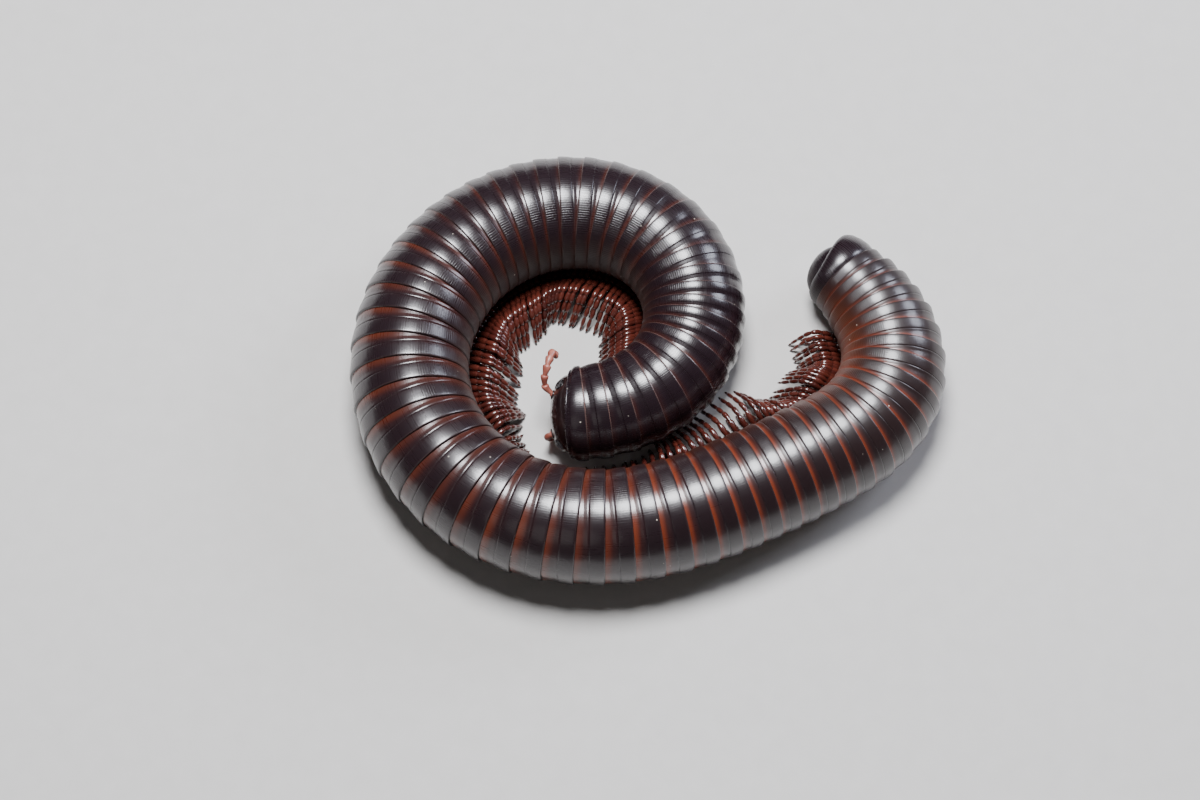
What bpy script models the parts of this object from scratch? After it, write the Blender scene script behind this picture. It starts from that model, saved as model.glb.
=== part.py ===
"""Giant African millipede, life size, lying in a loose coil with its legs on the inner side.

Units are metres, +Z is up and the floor is z = 0. The body is a stepped tube that follows one
curve on the floor, from the head in the middle of the coil to the tail at its outer end. The
section at any place is named by an angle that starts straight down and opens towards the inner
side of the coil, so the body's roll turns its belly and both rows of legs to that side.
"""

import math

import bmesh
import bpy
import numpy as np
from mathutils import Matrix, Vector

MM = 0.001

# Place of the collar's front on the floor and the direction in which the body leaves it
HEAD_X = -12.6
HEAD_Y = -7.1
HEAD_HEADING_DEG = -0.4

# Stops along the body, in millimetres from the collar's front: turn to the left in degrees for
# each centimetre, radius of the rings, roll towards the outer side and spacing of the rings
TURN_STOPS = (
    (0, 19.7), (20, 38.4), (40, 35.3), (60, 24.3), (80, 21.7), (100, 23.0), (120, 21.7),
    (140, 16.6), (160, 3.6), (172, 4.0), (182, 34.0), (192, 42.0), (202, 22.0), (216, 8.0),
)
RADIUS_STOPS = (
    (0, 7.1), (28, 7.8), (57, 8.7), (86, 9.05), (114, 8.9), (143, 8.6), (171, 8.5),
    (190, 8.1), (200, 7.5), (206, 6.8), (212, 5.7),
)
ROLL_STOPS = ((0, 35), (20, 38), (150, 40), (190, 40), (216, 36))
HEAD_ROLL_DEG = 26.0
PITCH_STOPS = (
    (0, 3.2), (16, 3.2), (22, 2.1), (28, 2.1), (34, 3.2), (52, 3.2), (60, 2.75), (78, 2.8),
    (86, 3.5), (100, 3.85), (116, 3.75), (148, 3.6), (156, 3.0), (186, 2.8), (200, 2.6), (216, 2.0),
)
CURVE_STEP = 0.25
GAP = 0.3
SHARP_DEG = 35.0

# The rings: each has a narrow front band and a wider rear band that ends in a small step
SIDES = 16
RING_COUNT = 67
COLLAR_LENGTH = 3.2
FRONT_BAND_SHARE = 0.35
FRONT_BAND_RADIUS = 0.957
STEP_LENGTH = 0.12
RINGS_PER_LENGTH = 5

# The collar, whose front edge leans so that it is widest over the back
COLLAR_FRONT = 1.2
COLLAR_LEAN = 0.85
COLLAR_FRONT_RADIUS = 0.90
COLLAR_SHOULDER_RADIUS = 0.97
COLLAR_SHOULDER = 0.6

# Legs: one pair on each of the first three rings behind the collar, then two pairs a ring
SINGLE_PAIR_RINGS = 3
LEGLESS_LAST_RINGS = 2
LEG_SIDES = 3
LEG_SPREAD_DEG = 8.0
LEG_CROWDING = 0.94

# Thickness, depth of the root and place of the hip, as shares of the ring's radius or of the leg's
LEG_THICKNESS = 0.052
LEG_ROOT_DEPTH = 0.80
KNEE_TAPER = 0.8
HIP_SHARE = 0.9
HIP_FLOOR = 1.1

# How far the feet reach out beyond the flank, how far they rake towards the tail in degrees and
# how high the raised bunches of legs are held, by place along the body
REACH_STOPS = ((0, 0.2), (8, 1.0), (16, 5.0), (24, 6.3), (150, 6.5), (165, 8.0), (190, 6.5), (216, 3.0))
RAKE_STOPS = ((0, -20), (15, -50), (60, 25), (120, 0), (160, 0), (178, -30), (202, 25), (216, 5))
LIFT_STOPS = ((0, 0.0), (150, 0.0), (165, 3.0), (185, 2.0), (200, 0.0))
KNEE_RISE = 2.0
KNEE_LIFT = 0.7
OUTER_KNEE_RISE = 0.1
OUTER_SPREAD = 0.62

# The wave that runs through the legs
LEGS_IN_A_WAVE = 14
WAVE_RAKE_DEG = 7.0
WAVE_REACH = 0.5
LIFT_PHASE = 0.8

# A leg is shortened step by step until it keeps clear of the body's other lengths, measured
# beyond its own length, and of the antennae beside the first rings
OWN_LENGTH = 30.0
LEG_CLEARANCE = 0.6
ANTENNA_ROOM = 1.3
ANTENNA_ROOM_LENGTH = 8.0
LEAST_SPREAD = 0.3
SPREAD_STEP = 0.05

# Head in millimetres from the middle of the collar's front: forward, towards the back, right
HEAD_HALF = (2.7, 5.5, 5.8)
HEAD_MIDDLE = (-0.7, -1.2, 0.0)
HEAD_MESH = (22, 14)
EYE_MESH = (10, 6)
HEAD_SEAT = 0.05
BEYOND = 9.0  # clear of the head on every side
MOUTH_TOP = -2.0
LIP_HALF_WIDTH = 2.3
MOUTH_FRONT = 0.7
EYE_HALF = (0.7, 0.95, 0.8)
EYE_PLACE = (0.5, 1.0, 4.5)

# Antennae: eight joints as shares of the length, each from a narrow root to a wide end; the
# paths are forward, towards the back, right, from the same middle
ANTENNA_THICKNESS = 0.85
ANTENNA_SIDES = 6
ANTENNA_STEPS = 40
ANTENNA_CLUB = ((0.14, 0.72), (0.76, 1.0))
ANTENNA_TIP = 0.5
ANTENNA_JOINTS = (0.06, 0.19, 0.17, 0.16, 0.15, 0.14, 0.09, 0.04)
ANTENNA_SOCKET = (-0.4, 2.9)
ANTENNA_SEAT = 0.28
ANTENNA_RIGHT = (
    (2.6, 0.0, 4.0), (2.8, 0.6, 5.3), (2.5, 0.9, 6.8), (2.05, 0.2, 8.3), (1.6, -0.9, 9.1), (1.0, -1.6, 8.4),
)
ANTENNA_LEFT = (
    (2.25, -1.5, -3.4), (2.0, -2.9, -3.6), (1.65, -4.3, -3.4), (1.2, -5.6, -2.5), (0.7, -6.4, -1.1),
)

# Tail: a ring that ends in a blunt point over two swollen valves; its rows are place, share of
# the last ring's radius and how far the point reaches behind them
TAIL_LENGTH = 3.0
TAIL_ROWS = ((0.0, 0.957, 0.0), (0.9, 0.97, 0.0), (2.3, 0.90, 1.0), (2.6, 0.78, 1.3), (2.2, 0.70, 0.0))
TAIL_STANDING = 0.97
VALVE_LENGTH = 2.4
VALVE_RADIUS = 0.70
VALVE_STEPS = 4

BODY_COLOUR = (0.035, 0.018, 0.020)
ANTENNA_COLOUR = (0.55, 0.16, 0.10)


def stop_value(stops, s):
    """Returns the value at s millimetres along the body, read between the stops."""
    places = [stop[0] for stop in stops]
    values = [stop[1] for stop in stops]
    return float(np.interp(s, places, values))


class Spine:
    """The body's axis on the floor, worked out once from the turn stops."""

    def __init__(self, length):
        self.s = np.arange(0.0, length + CURVE_STEP, CURVE_STEP)
        turn = np.interp(self.s, *zip(*TURN_STOPS)) * math.radians(0.1)
        steps = np.concatenate([[0.0], (turn[1:] + turn[:-1]) / 2 * CURVE_STEP])
        self.heading = math.radians(HEAD_HEADING_DEG) + np.cumsum(steps)
        middle = (self.heading[1:] + self.heading[:-1]) / 2
        self.x = HEAD_X + np.concatenate([[0.0], np.cumsum(np.cos(middle) * CURVE_STEP)])
        self.y = HEAD_Y + np.concatenate([[0.0], np.cumsum(np.sin(middle) * CURVE_STEP)])
        self.radius = np.interp(self.s, *zip(*RADIUS_STOPS))
        self.room = self.radius + LEG_CLEARANCE + ANTENNA_ROOM * (self.s < ANTENNA_ROOM_LENGTH)

    def frame(self, s):
        """Returns the axis point, the direction towards the tail and that towards the inner side."""
        heading = float(np.interp(s, self.s, self.heading))
        along = Vector((math.cos(heading), math.sin(heading), 0.0))
        inward = Vector((-along.y, along.x, 0.0))
        lift = stop_value(RADIUS_STOPS, s) * math.cos(math.pi / SIDES)
        point = Vector((float(np.interp(s, self.s, self.x)), float(np.interp(s, self.s, self.y)), lift))
        overshoot = min(s, 0.0) + max(s - self.s[-1], 0.0)
        return point + along * overshoot, along, inward

    def on_section(self, s, angle, radius, standing=None):
        """Returns the point at an angle and radius in the section at s.

        The axis lies as high as the body's radius at s asks, or as high as a standing radius does.
        """
        point, _, inward = self.frame(s)
        if standing is not None:
            point.z = standing * math.cos(math.pi / SIDES)
        return point + (inward * math.sin(angle) - Vector((0.0, 0.0, math.cos(angle)))) * radius

    def clear_of_other_lengths(self, point, s):
        """Tells whether a point keeps clear of every length of the body not around s."""
        away = np.abs(self.s - s) > OWN_LENGTH
        gap = np.hypot(self.x[away] - point.x, self.y[away] - point.y)
        gap = np.hypot(gap, self.radius[away] - point.z)
        return bool((gap > self.room[away]).all())


def ring_edges():
    """Returns the places, in millimetres, of the collar's rear edge and every ring's after it."""
    edges = [COLLAR_LENGTH]
    for _ in range(RING_COUNT):
        edges.append(edges[-1] + stop_value(PITCH_STOPS, edges[-1]))
    return edges


def new_material(name, colour, roughness):
    """Makes a plain glossy material."""
    material = bpy.data.materials.new(name)
    material.use_nodes = True
    shader = material.node_tree.nodes["Principled BSDF"]
    shader.inputs["Base Color"].default_value = (*colour, 1.0)
    shader.inputs["Roughness"].default_value = roughness
    return material


def new_object(name, bm, collection, material=None):
    """Makes a mesh object in the collection from a bmesh in millimetres."""
    bmesh.ops.recalc_face_normals(bm, faces=bm.faces)
    bmesh.ops.scale(bm, vec=(MM, MM, MM), verts=bm.verts)
    mesh = bpy.data.meshes.new(name)
    bm.to_mesh(mesh)
    bm.free()
    mesh.shade_smooth()
    mesh.set_sharp_from_angle(angle=math.radians(SHARP_DEG))
    obj = bpy.data.objects.new(name, mesh)
    collection.objects.link(obj)
    if collection.hide_render:
        obj.display_type = "WIRE"
    if material:
        mesh.materials.append(material)
    return obj


def loft(rows):
    """Returns a closed bmesh through rows of points; a last row of one point closes to a tip."""
    bm = bmesh.new()
    rings = [[bm.verts.new(point) for point in row] for row in rows]
    count = len(rings[0])
    for first, second in zip(rings, rings[1:]):
        for j in range(count):
            k = (j + 1) % count
            corners = (first[j], first[k], *((second[0],) if len(second) == 1 else (second[k], second[j])))
            bm.faces.new(corners)
    bm.faces.new(rings[0])
    if len(rings[-1]) > 2:
        bm.faces.new(rings[-1])
    return bm


def section(spine, s, radius, standing):
    """Returns one round section whose lowest side lies flat, on the axis of a standing radius."""
    angles = [(j + 0.5) * math.tau / SIDES for j in range(SIDES)]
    return [spine.on_section(s, angle, radius, standing) for angle in angles]


def ring_rows(spine, start, end):
    """Returns the three sections of one ring: front band, its rear edge and the ring's rear edge."""
    radius = stop_value(RADIUS_STOPS, end)
    front = start + STEP_LENGTH
    band = start + (end - start) * FRONT_BAND_SHARE
    return [
        section(spine, front, radius * FRONT_BAND_RADIUS, radius),
        section(spine, band, radius, radius),
        section(spine, end, radius, radius),
    ]


def tube_rows(path, radii, sides):
    """Returns sections of a tapering tube along a path of points."""
    rows = []
    for i, (point, radius) in enumerate(zip(path, radii)):
        ahead = path[min(i + 1, len(path) - 1)] - path[max(i - 1, 0)]
        turn = ahead.to_track_quat("Z", "Y")
        ring = []
        for j in range(sides):
            angle = (j + 0.5) * math.tau / sides
            ring.append(point + turn @ Vector((math.cos(angle), math.sin(angle), 0.0)) * radius)
        rows.append(ring)
    return rows


def leg_path(spine, s, outer, phase):
    """Returns the four stations of a leg: root inside the body, hip, knee and tip on the floor.

    The legs of the outer side pass under the belly, so they lie low and end short of the others.
    """
    radius = stop_value(RADIUS_STOPS, s)
    spread = -LEG_SPREAD_DEG if outer else LEG_SPREAD_DEG
    angle = math.radians(stop_value(ROLL_STOPS, s) + spread)
    rake = math.radians(stop_value(RAKE_STOPS, s) + WAVE_RAKE_DEG * math.sin(phase))
    reach = stop_value(REACH_STOPS, s) + WAVE_REACH * math.cos(phase)
    lift = stop_value(LIFT_STOPS, s) * max(0.0, math.sin(phase + LIFT_PHASE))
    thickness = LEG_THICKNESS * radius
    _, along, inward = spine.frame(s)
    root = spine.on_section(s, angle, radius * LEG_ROOT_DEPTH)
    hip = spine.on_section(s, angle, radius + thickness * HIP_SHARE) + inward * thickness
    hip.z = max(hip.z, thickness * HIP_FLOOR)
    direction = inward * math.cos(rake) + along * math.sin(rake)
    flank = radius * (1.0 - math.sin(angle))
    share = 1.0
    while True:
        out = (flank + reach * (OUTER_SPREAD if outer else 1.0)) * share
        knee = hip + direction * (out * 0.5)
        tip = hip + direction * out
        knee.z = hip.z + (OUTER_KNEE_RISE if outer else KNEE_RISE) * share + lift * KNEE_LIFT
        tip.z = 0.0 if outer else lift
        clear = all(spine.clear_of_other_lengths(p, s) for p in (knee, (knee + tip) / 2, tip))
        if clear or share < LEAST_SPREAD:
            return [root, hip, knee, tip]
        share -= SPREAD_STEP


def leg_object(spine, s, outer, phase, collection):
    """Makes one leg as a closed tapering tube."""
    thickness = LEG_THICKNESS * stop_value(RADIUS_STOPS, s)
    path = leg_path(spine, s, outer, phase)
    rows = tube_rows(path, [thickness, thickness, thickness * KNEE_TAPER, 0.0], LEG_SIDES)
    rows[-1] = [path[-1]]
    return new_object("leg", loft(rows), collection)


def leg_places(edges, first, last):
    """Returns the places of the legs of rings first to last, crowded a little towards the middle."""
    places = []
    for ring in range(first, min(last, RING_COUNT - LEGLESS_LAST_RINGS)):
        start, end = edges[ring], edges[ring + 1]
        shares = (0.5,) if ring < SINGLE_PAIR_RINGS else (0.25, 0.75)
        places += [start + (end - start) * share for share in shares]
    middle = (edges[first] + edges[last]) / 2
    return [middle + (place - middle) * LEG_CROWDING for place in places]


def apply_boolean(obj, operation, operand, solver="EXACT"):
    """Joins, cuts or intersects an object with another or a collection, and applies it."""
    modifier = obj.modifiers.new("join", "BOOLEAN")
    modifier.operation = operation
    modifier.solver = solver
    if isinstance(operand, bpy.types.Collection):
        modifier.operand_type = "COLLECTION"
        modifier.collection = operand
    else:
        modifier.object = operand
    bpy.context.view_layer.update()
    graph = bpy.context.evaluated_depsgraph_get()
    mesh = bpy.data.meshes.new_from_object(obj.evaluated_get(graph))
    obj.modifiers.remove(modifier)
    old = obj.data
    obj.data = mesh
    bpy.data.meshes.remove(old)
    mesh.name = obj.name


def keep_largest(obj):
    """Keeps only the largest connected surface of an object's mesh."""
    bm = bmesh.new()
    bm.from_mesh(obj.data)
    left = set(bm.verts)
    islands = []
    while left:
        front = [left.pop()]
        island = list(front)
        while front:
            vert = front.pop()
            for edge in vert.link_edges:
                other = edge.other_vert(vert)
                if other in left:
                    left.remove(other)
                    front.append(other)
                    island.append(other)
        islands.append(island)
    islands.sort(key=len)
    loose = [vert for island in islands[:-1] for vert in island]
    bmesh.ops.delete(bm, geom=loose, context="VERTS")
    bm.to_mesh(obj.data)
    bm.free()


def remove_objects(objects):
    """Removes helper objects and their meshes."""
    for obj in list(objects):
        mesh = obj.data
        bpy.data.objects.remove(obj)
        bpy.data.meshes.remove(mesh)


def build_trunk(spine, edges, parts, helpers, material):
    """Makes the trunk in lengths of a few rings, each fused with the legs that it carries."""
    firsts = list(range(0, RING_COUNT, RINGS_PER_LENGTH))
    leg_number = 0
    for number, first in enumerate(firsts, start=1):
        last = min(first + RINGS_PER_LENGTH, RING_COUNT)
        rows = []
        for ring in range(first, last):
            rows += ring_rows(spine, edges[ring], edges[ring + 1])
        radius = stop_value(RADIUS_STOPS, edges[first])
        rows[0] = section(spine, edges[first] + GAP, radius * FRONT_BAND_RADIUS, radius)
        length = new_object(f"trunk_{number:02d}", loft(rows), parts, material)
        for s in leg_places(edges, first, last):
            phase = leg_number * math.tau / LEGS_IN_A_WAVE
            leg_number += 1
            for outer in (False, True):
                leg_object(spine, s, outer, phase, helpers)
        if helpers.objects:
            apply_boolean(length, "UNION", helpers)
            keep_largest(length)
            remove_objects(helpers.objects)


def collar_row(spine, roll, share, extra):
    """Returns one section of the collar, which leans forward over the back."""
    standing = stop_value(RADIUS_STOPS, COLLAR_LENGTH)
    radius = standing * share
    row = []
    for j in range(SIDES):
        angle = (j + 0.5) * math.tau / SIDES
        s = COLLAR_FRONT - COLLAR_LEAN * math.cos(angle - roll - math.pi) + extra
        row.append(spine.on_section(s, angle, radius, standing))
    return row


def build_collar(spine, roll, parts, material):
    """Makes the collar behind the head."""
    radius = stop_value(RADIUS_STOPS, COLLAR_LENGTH)
    rows = [
        collar_row(spine, roll, COLLAR_FRONT_RADIUS, 0.0),
        collar_row(spine, roll, COLLAR_SHOULDER_RADIUS, COLLAR_SHOULDER),
        section(spine, COLLAR_LENGTH, radius, radius),
    ]
    new_object("collum", loft(rows), parts, material)


class HeadFrame:
    """Turns forward, towards the back and right, measured at the collar, into world points."""

    def __init__(self, spine, roll):
        self.origin, along, inward = spine.frame(0.0)
        self.forward = -along
        self.back = Vector((0.0, 0.0, math.cos(roll))) - inward * math.sin(roll)
        self.right = self.forward.cross(self.back)

    def point(self, place):
        """Returns the world point of a place in the head."""
        return self.origin + self.forward * place[0] + self.back * place[1] + self.right * place[2]

    def antenna_root(self, side):
        """Returns the point just in front of the head where one antenna starts."""
        back, right = ANTENNA_SOCKET[0], side * ANTENNA_SOCKET[1]
        up, out = (back - HEAD_MIDDLE[1]) / HEAD_HALF[1], right / HEAD_HALF[2]
        front = math.sqrt(1.0 - up**2 - out**2)
        normal = Vector((front / HEAD_HALF[0], up / HEAD_HALF[1], out / HEAD_HALF[2])).normalized()
        base = Vector((HEAD_MIDDLE[0] + front * HEAD_HALF[0], back, right))
        return self.point(base + normal * ANTENNA_SEAT)

    def matrix(self, place, size):
        """Returns the matrix that puts a unit shape at a place, with its three sizes."""
        turn = Matrix((self.forward, self.back, self.right)).transposed().to_4x4()
        return Matrix.Translation(self.point(place)) @ turn @ Matrix.Diagonal((*size, 1.0))


def ball(frame, name, place, half, collection, divisions, material=None):
    """Makes an ellipsoid in the head's frame, with divisions round and along it."""
    bm = bmesh.new()
    bmesh.ops.create_uvsphere(bm, u_segments=divisions[0], v_segments=divisions[1], radius=1.0)
    bmesh.ops.transform(bm, matrix=frame.matrix(place, half), verts=bm.verts)
    return new_object(name, bm, collection, material)


def box(frame, name, low, high, collection):
    """Makes a box between two corners in the head's frame."""
    bm = bmesh.new()
    bmesh.ops.create_cube(bm, size=1.0)
    middle = [(a + b) / 2 for a, b in zip(low, high)]
    size = [b - a for a, b in zip(low, high)]
    bmesh.ops.transform(bm, matrix=frame.matrix(middle, size), verts=bm.verts)
    return new_object(name, bm, collection)


def cut_plane(obj, point, normal):
    """Cuts away what lies on the normal's side of a plane and closes the cut."""
    bm = bmesh.new()
    bm.from_mesh(obj.data)
    geometry = bm.verts[:] + bm.edges[:] + bm.faces[:]
    cut = bmesh.ops.bisect_plane(bm, geom=geometry, plane_co=point * MM, plane_no=normal, clear_outer=True)
    edges = [item for item in cut["geom_cut"] if isinstance(item, bmesh.types.BMEdge)]
    bmesh.ops.contextual_create(bm, geom=edges)
    bmesh.ops.recalc_face_normals(bm, faces=bm.faces)
    bm.to_mesh(obj.data)
    bm.free()


def build_head(spine, roll, parts, helpers, materials):
    """Makes the head capsule, its two jaws and lower lip, the eyes and the antennae."""
    frame = HeadFrame(spine, roll)
    front = collar_row(spine, roll, COLLAR_FRONT_RADIUS, 0.0)
    third = SIDES // 3
    normal = (front[third] - front[0]).cross(front[2 * third] - front[0]).normalized()
    normal *= -math.copysign(1.0, normal.dot(frame.forward))
    face = sum(front, Vector()) / SIDES - normal * (GAP + HEAD_SEAT)
    jaw_gap = LIP_HALF_WIDTH + GAP
    pieces = {
        "head": None,
        "jaw_right": ((-BEYOND, -BEYOND, jaw_gap), (MOUTH_FRONT, MOUTH_TOP, BEYOND)),
        "jaw_left": ((-BEYOND, -BEYOND, -BEYOND), (MOUTH_FRONT, MOUTH_TOP, -jaw_gap)),
        "lower_lip": ((-BEYOND, -BEYOND, -LIP_HALF_WIDTH), (MOUTH_FRONT, MOUTH_TOP, LIP_HALF_WIDTH)),
    }
    for name, corners in pieces.items():
        piece = ball(frame, name, HEAD_MIDDLE, HEAD_HALF, parts, HEAD_MESH, materials["body"])
        cut_plane(piece, face, normal)
        if corners:
            apply_boolean(piece, "INTERSECT", box(frame, "mouth", *corners, helpers))
        else:
            mouth = ((-BEYOND, -BEYOND, -BEYOND), (MOUTH_FRONT + GAP, MOUTH_TOP + GAP, BEYOND))
            apply_boolean(piece, "DIFFERENCE", box(frame, "mouth", *mouth, helpers))
            for side in (-1, 1):
                place = (*EYE_PLACE[:2], side * EYE_PLACE[2])
                socket = [half + GAP for half in EYE_HALF]
                hollow = ball(frame, "socket", place, socket, helpers, EYE_MESH)
                apply_boolean(piece, "DIFFERENCE", hollow)
        remove_objects(helpers.objects)
    for name, side in (("eye_right", 1), ("eye_left", -1)):
        place = (*EYE_PLACE[:2], side * EYE_PLACE[2])
        ball(frame, name, place, EYE_HALF, parts, EYE_MESH, materials["body"])
    for name, side, path in (("antenna_right", 1, ANTENNA_RIGHT), ("antenna_left", -1, ANTENNA_LEFT)):
        points = [frame.antenna_root(side), *(frame.point(place) for place in path)]
        build_antenna(name, points, parts, materials["antenna"])


def smooth_path(points, count):
    """Returns evenly numbered points on a smooth curve through the given ones."""
    closed = [2 * points[0] - points[1], *points, 2 * points[-1] - points[-2]]
    path = []
    for i in range(count + 1):
        place = i / count * (len(points) - 1)
        k = min(int(place), len(points) - 2)
        t = place - k
        a, b, c, d = closed[k:k + 4]
        path.append(
            (2 * b + (c - a) * t + (2 * a - 5 * b + 4 * c - d) * t**2 + (3 * b - a - 3 * c + d) * t**3) / 2
        )
    return path


def along_path(path, share):
    """Returns the point at a share of a path's length."""
    lengths = [0.0]
    for a, b in zip(path, path[1:]):
        lengths.append(lengths[-1] + (b - a).length)
    place = share * lengths[-1]
    k = max(i for i in range(len(path) - 1) if lengths[i] <= place)
    return path[k].lerp(path[k + 1], (place - lengths[k]) / (lengths[k + 1] - lengths[k]))


def build_antenna(name, points, parts, material):
    """Makes an antenna whose joints are narrow at their root and widen towards their end."""
    path = smooth_path(points, ANTENNA_STEPS)
    stations, radii = [], []
    place = 0.0
    for joint in ANTENNA_JOINTS:
        for share, size in ANTENNA_CLUB:
            stations.append(along_path(path, place + joint * share))
            radii.append(ANTENNA_THICKNESS / 2 * size)
        place += joint
    radii[-1] *= ANTENNA_TIP
    new_object(name, loft(tube_rows(stations, radii, ANTENNA_SIDES)), parts, material)


def build_tail(spine, start, roll, parts, material):
    """Makes the last ring with its blunt point, and the two valves that close the body."""
    radius = stop_value(RADIUS_STOPS, start)
    standing = radius * TAIL_STANDING
    back = roll + math.pi
    rows = []
    for place, share, point in TAIL_ROWS:
        row = []
        for j in range(SIDES):
            angle = (j + 0.5) * math.tau / SIDES
            reach = point * max(0.0, math.cos(angle - back)) ** 2
            row.append(spine.on_section(start + GAP + place + reach, angle, radius * share, standing))
        rows.append(row)
    new_object("tail_ring", loft(rows), parts, material)
    base = start + GAP + TAIL_ROWS[-1][0] + GAP
    middle = spine.on_section(base, 0.0, 0.0, standing)
    along = spine.frame(base)[1]
    sideways = spine.on_section(base, back + math.pi / 2, 1.0, standing) - middle
    for name, side in (("anal_valve_right", 1), ("anal_valve_left", -1)):
        rows = []
        for step in range(VALVE_STEPS):
            turn = step / VALVE_STEPS * math.pi / 2
            place = base + VALVE_LENGTH * math.sin(turn)
            rows.append(section(spine, place, radius * VALVE_RADIUS * math.cos(turn), standing))
        rows.append([middle + along * VALVE_LENGTH])
        valve = new_object(name, loft(rows), parts, material)
        cut_plane(valve, middle + sideways * side * GAP / 2, sideways * -side)


def main():
    for obj in list(bpy.data.objects):
        bpy.data.objects.remove(obj)
    parts = bpy.data.collections.new("giant_african_millipede")
    helpers = bpy.data.collections.new("helpers")
    for collection in (parts, helpers):
        bpy.context.scene.collection.children.link(collection)
    helpers.hide_render = True
    materials = {
        "body": new_material("body_shell", BODY_COLOUR, 0.25),
        "antenna": new_material("antenna_shell", ANTENNA_COLOUR, 0.4),
    }
    edges = ring_edges()
    spine = Spine(edges[-1] + TAIL_LENGTH)
    build_head(spine, math.radians(HEAD_ROLL_DEG), parts, helpers, materials)
    build_collar(spine, math.radians(HEAD_ROLL_DEG), parts, materials["body"])
    build_trunk(spine, edges, parts, helpers, materials["body"])
    build_tail(spine, edges[-1], math.radians(stop_value(ROLL_STOPS, edges[-1])), parts, materials["body"])


main()
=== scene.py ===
"""Looks of a giant African millipede, life size, lying in a loose coil on its side.

Lengths are millimetres until a mesh is made, and metres in the scene. +Z is up and the floor is
z = 0. Places along the body are millimetres from the collar's front. A section's angle starts
straight down and opens towards the inner side of the coil.
"""

from __future__ import annotations

import logging
import math
import random
from dataclasses import dataclass, field
from enum import Enum

import bmesh
import bpy
import numpy as np
from mathutils import Matrix, Vector

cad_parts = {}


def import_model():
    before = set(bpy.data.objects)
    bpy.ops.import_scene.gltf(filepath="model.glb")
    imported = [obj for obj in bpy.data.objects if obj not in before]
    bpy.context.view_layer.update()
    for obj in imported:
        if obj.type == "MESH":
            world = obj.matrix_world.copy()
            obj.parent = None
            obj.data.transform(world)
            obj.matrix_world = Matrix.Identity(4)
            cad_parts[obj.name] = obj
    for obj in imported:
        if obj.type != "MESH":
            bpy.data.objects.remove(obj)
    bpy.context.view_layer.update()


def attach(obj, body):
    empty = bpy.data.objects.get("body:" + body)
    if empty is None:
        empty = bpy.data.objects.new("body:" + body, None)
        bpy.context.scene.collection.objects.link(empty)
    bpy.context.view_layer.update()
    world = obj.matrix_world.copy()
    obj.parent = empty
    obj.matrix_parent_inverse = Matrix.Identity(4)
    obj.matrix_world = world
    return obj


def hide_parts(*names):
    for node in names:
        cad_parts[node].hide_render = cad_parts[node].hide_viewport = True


Stops = tuple[tuple[float, float], ...]
Place = tuple[float, float, float]
Colour = tuple[float, float, float]
Range = tuple[float, float]
Tree = bpy.types.NodeTree
Socket = bpy.types.NodeSocket
Material = bpy.types.Material
Object = bpy.types.Object

MM = 0.001
BODY = "root"
SHARP_DEG = 50.0
BEFORE_NEXT_RING = 0.9999
log = logging.getLogger("millipede")


class Slot(Enum):
    """Names of the material slots that the pieces stand for."""

    SHELL = "shell"
    LEGS = "legs"
    MOUTH = "mouthparts"
    EYE = "eye"
    ANTENNA = "antenna"


def stop_value(stops: Stops, places: np.ndarray | float) -> np.ndarray:
    """Reads a value between stops.

    Args:
        stops: Pairs of a place along the body and the value there.
        places: The places to read at.

    Returns:
        The values at the places.
    """
    return np.interp(places, [stop[0] for stop in stops], [stop[1] for stop in stops])


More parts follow.
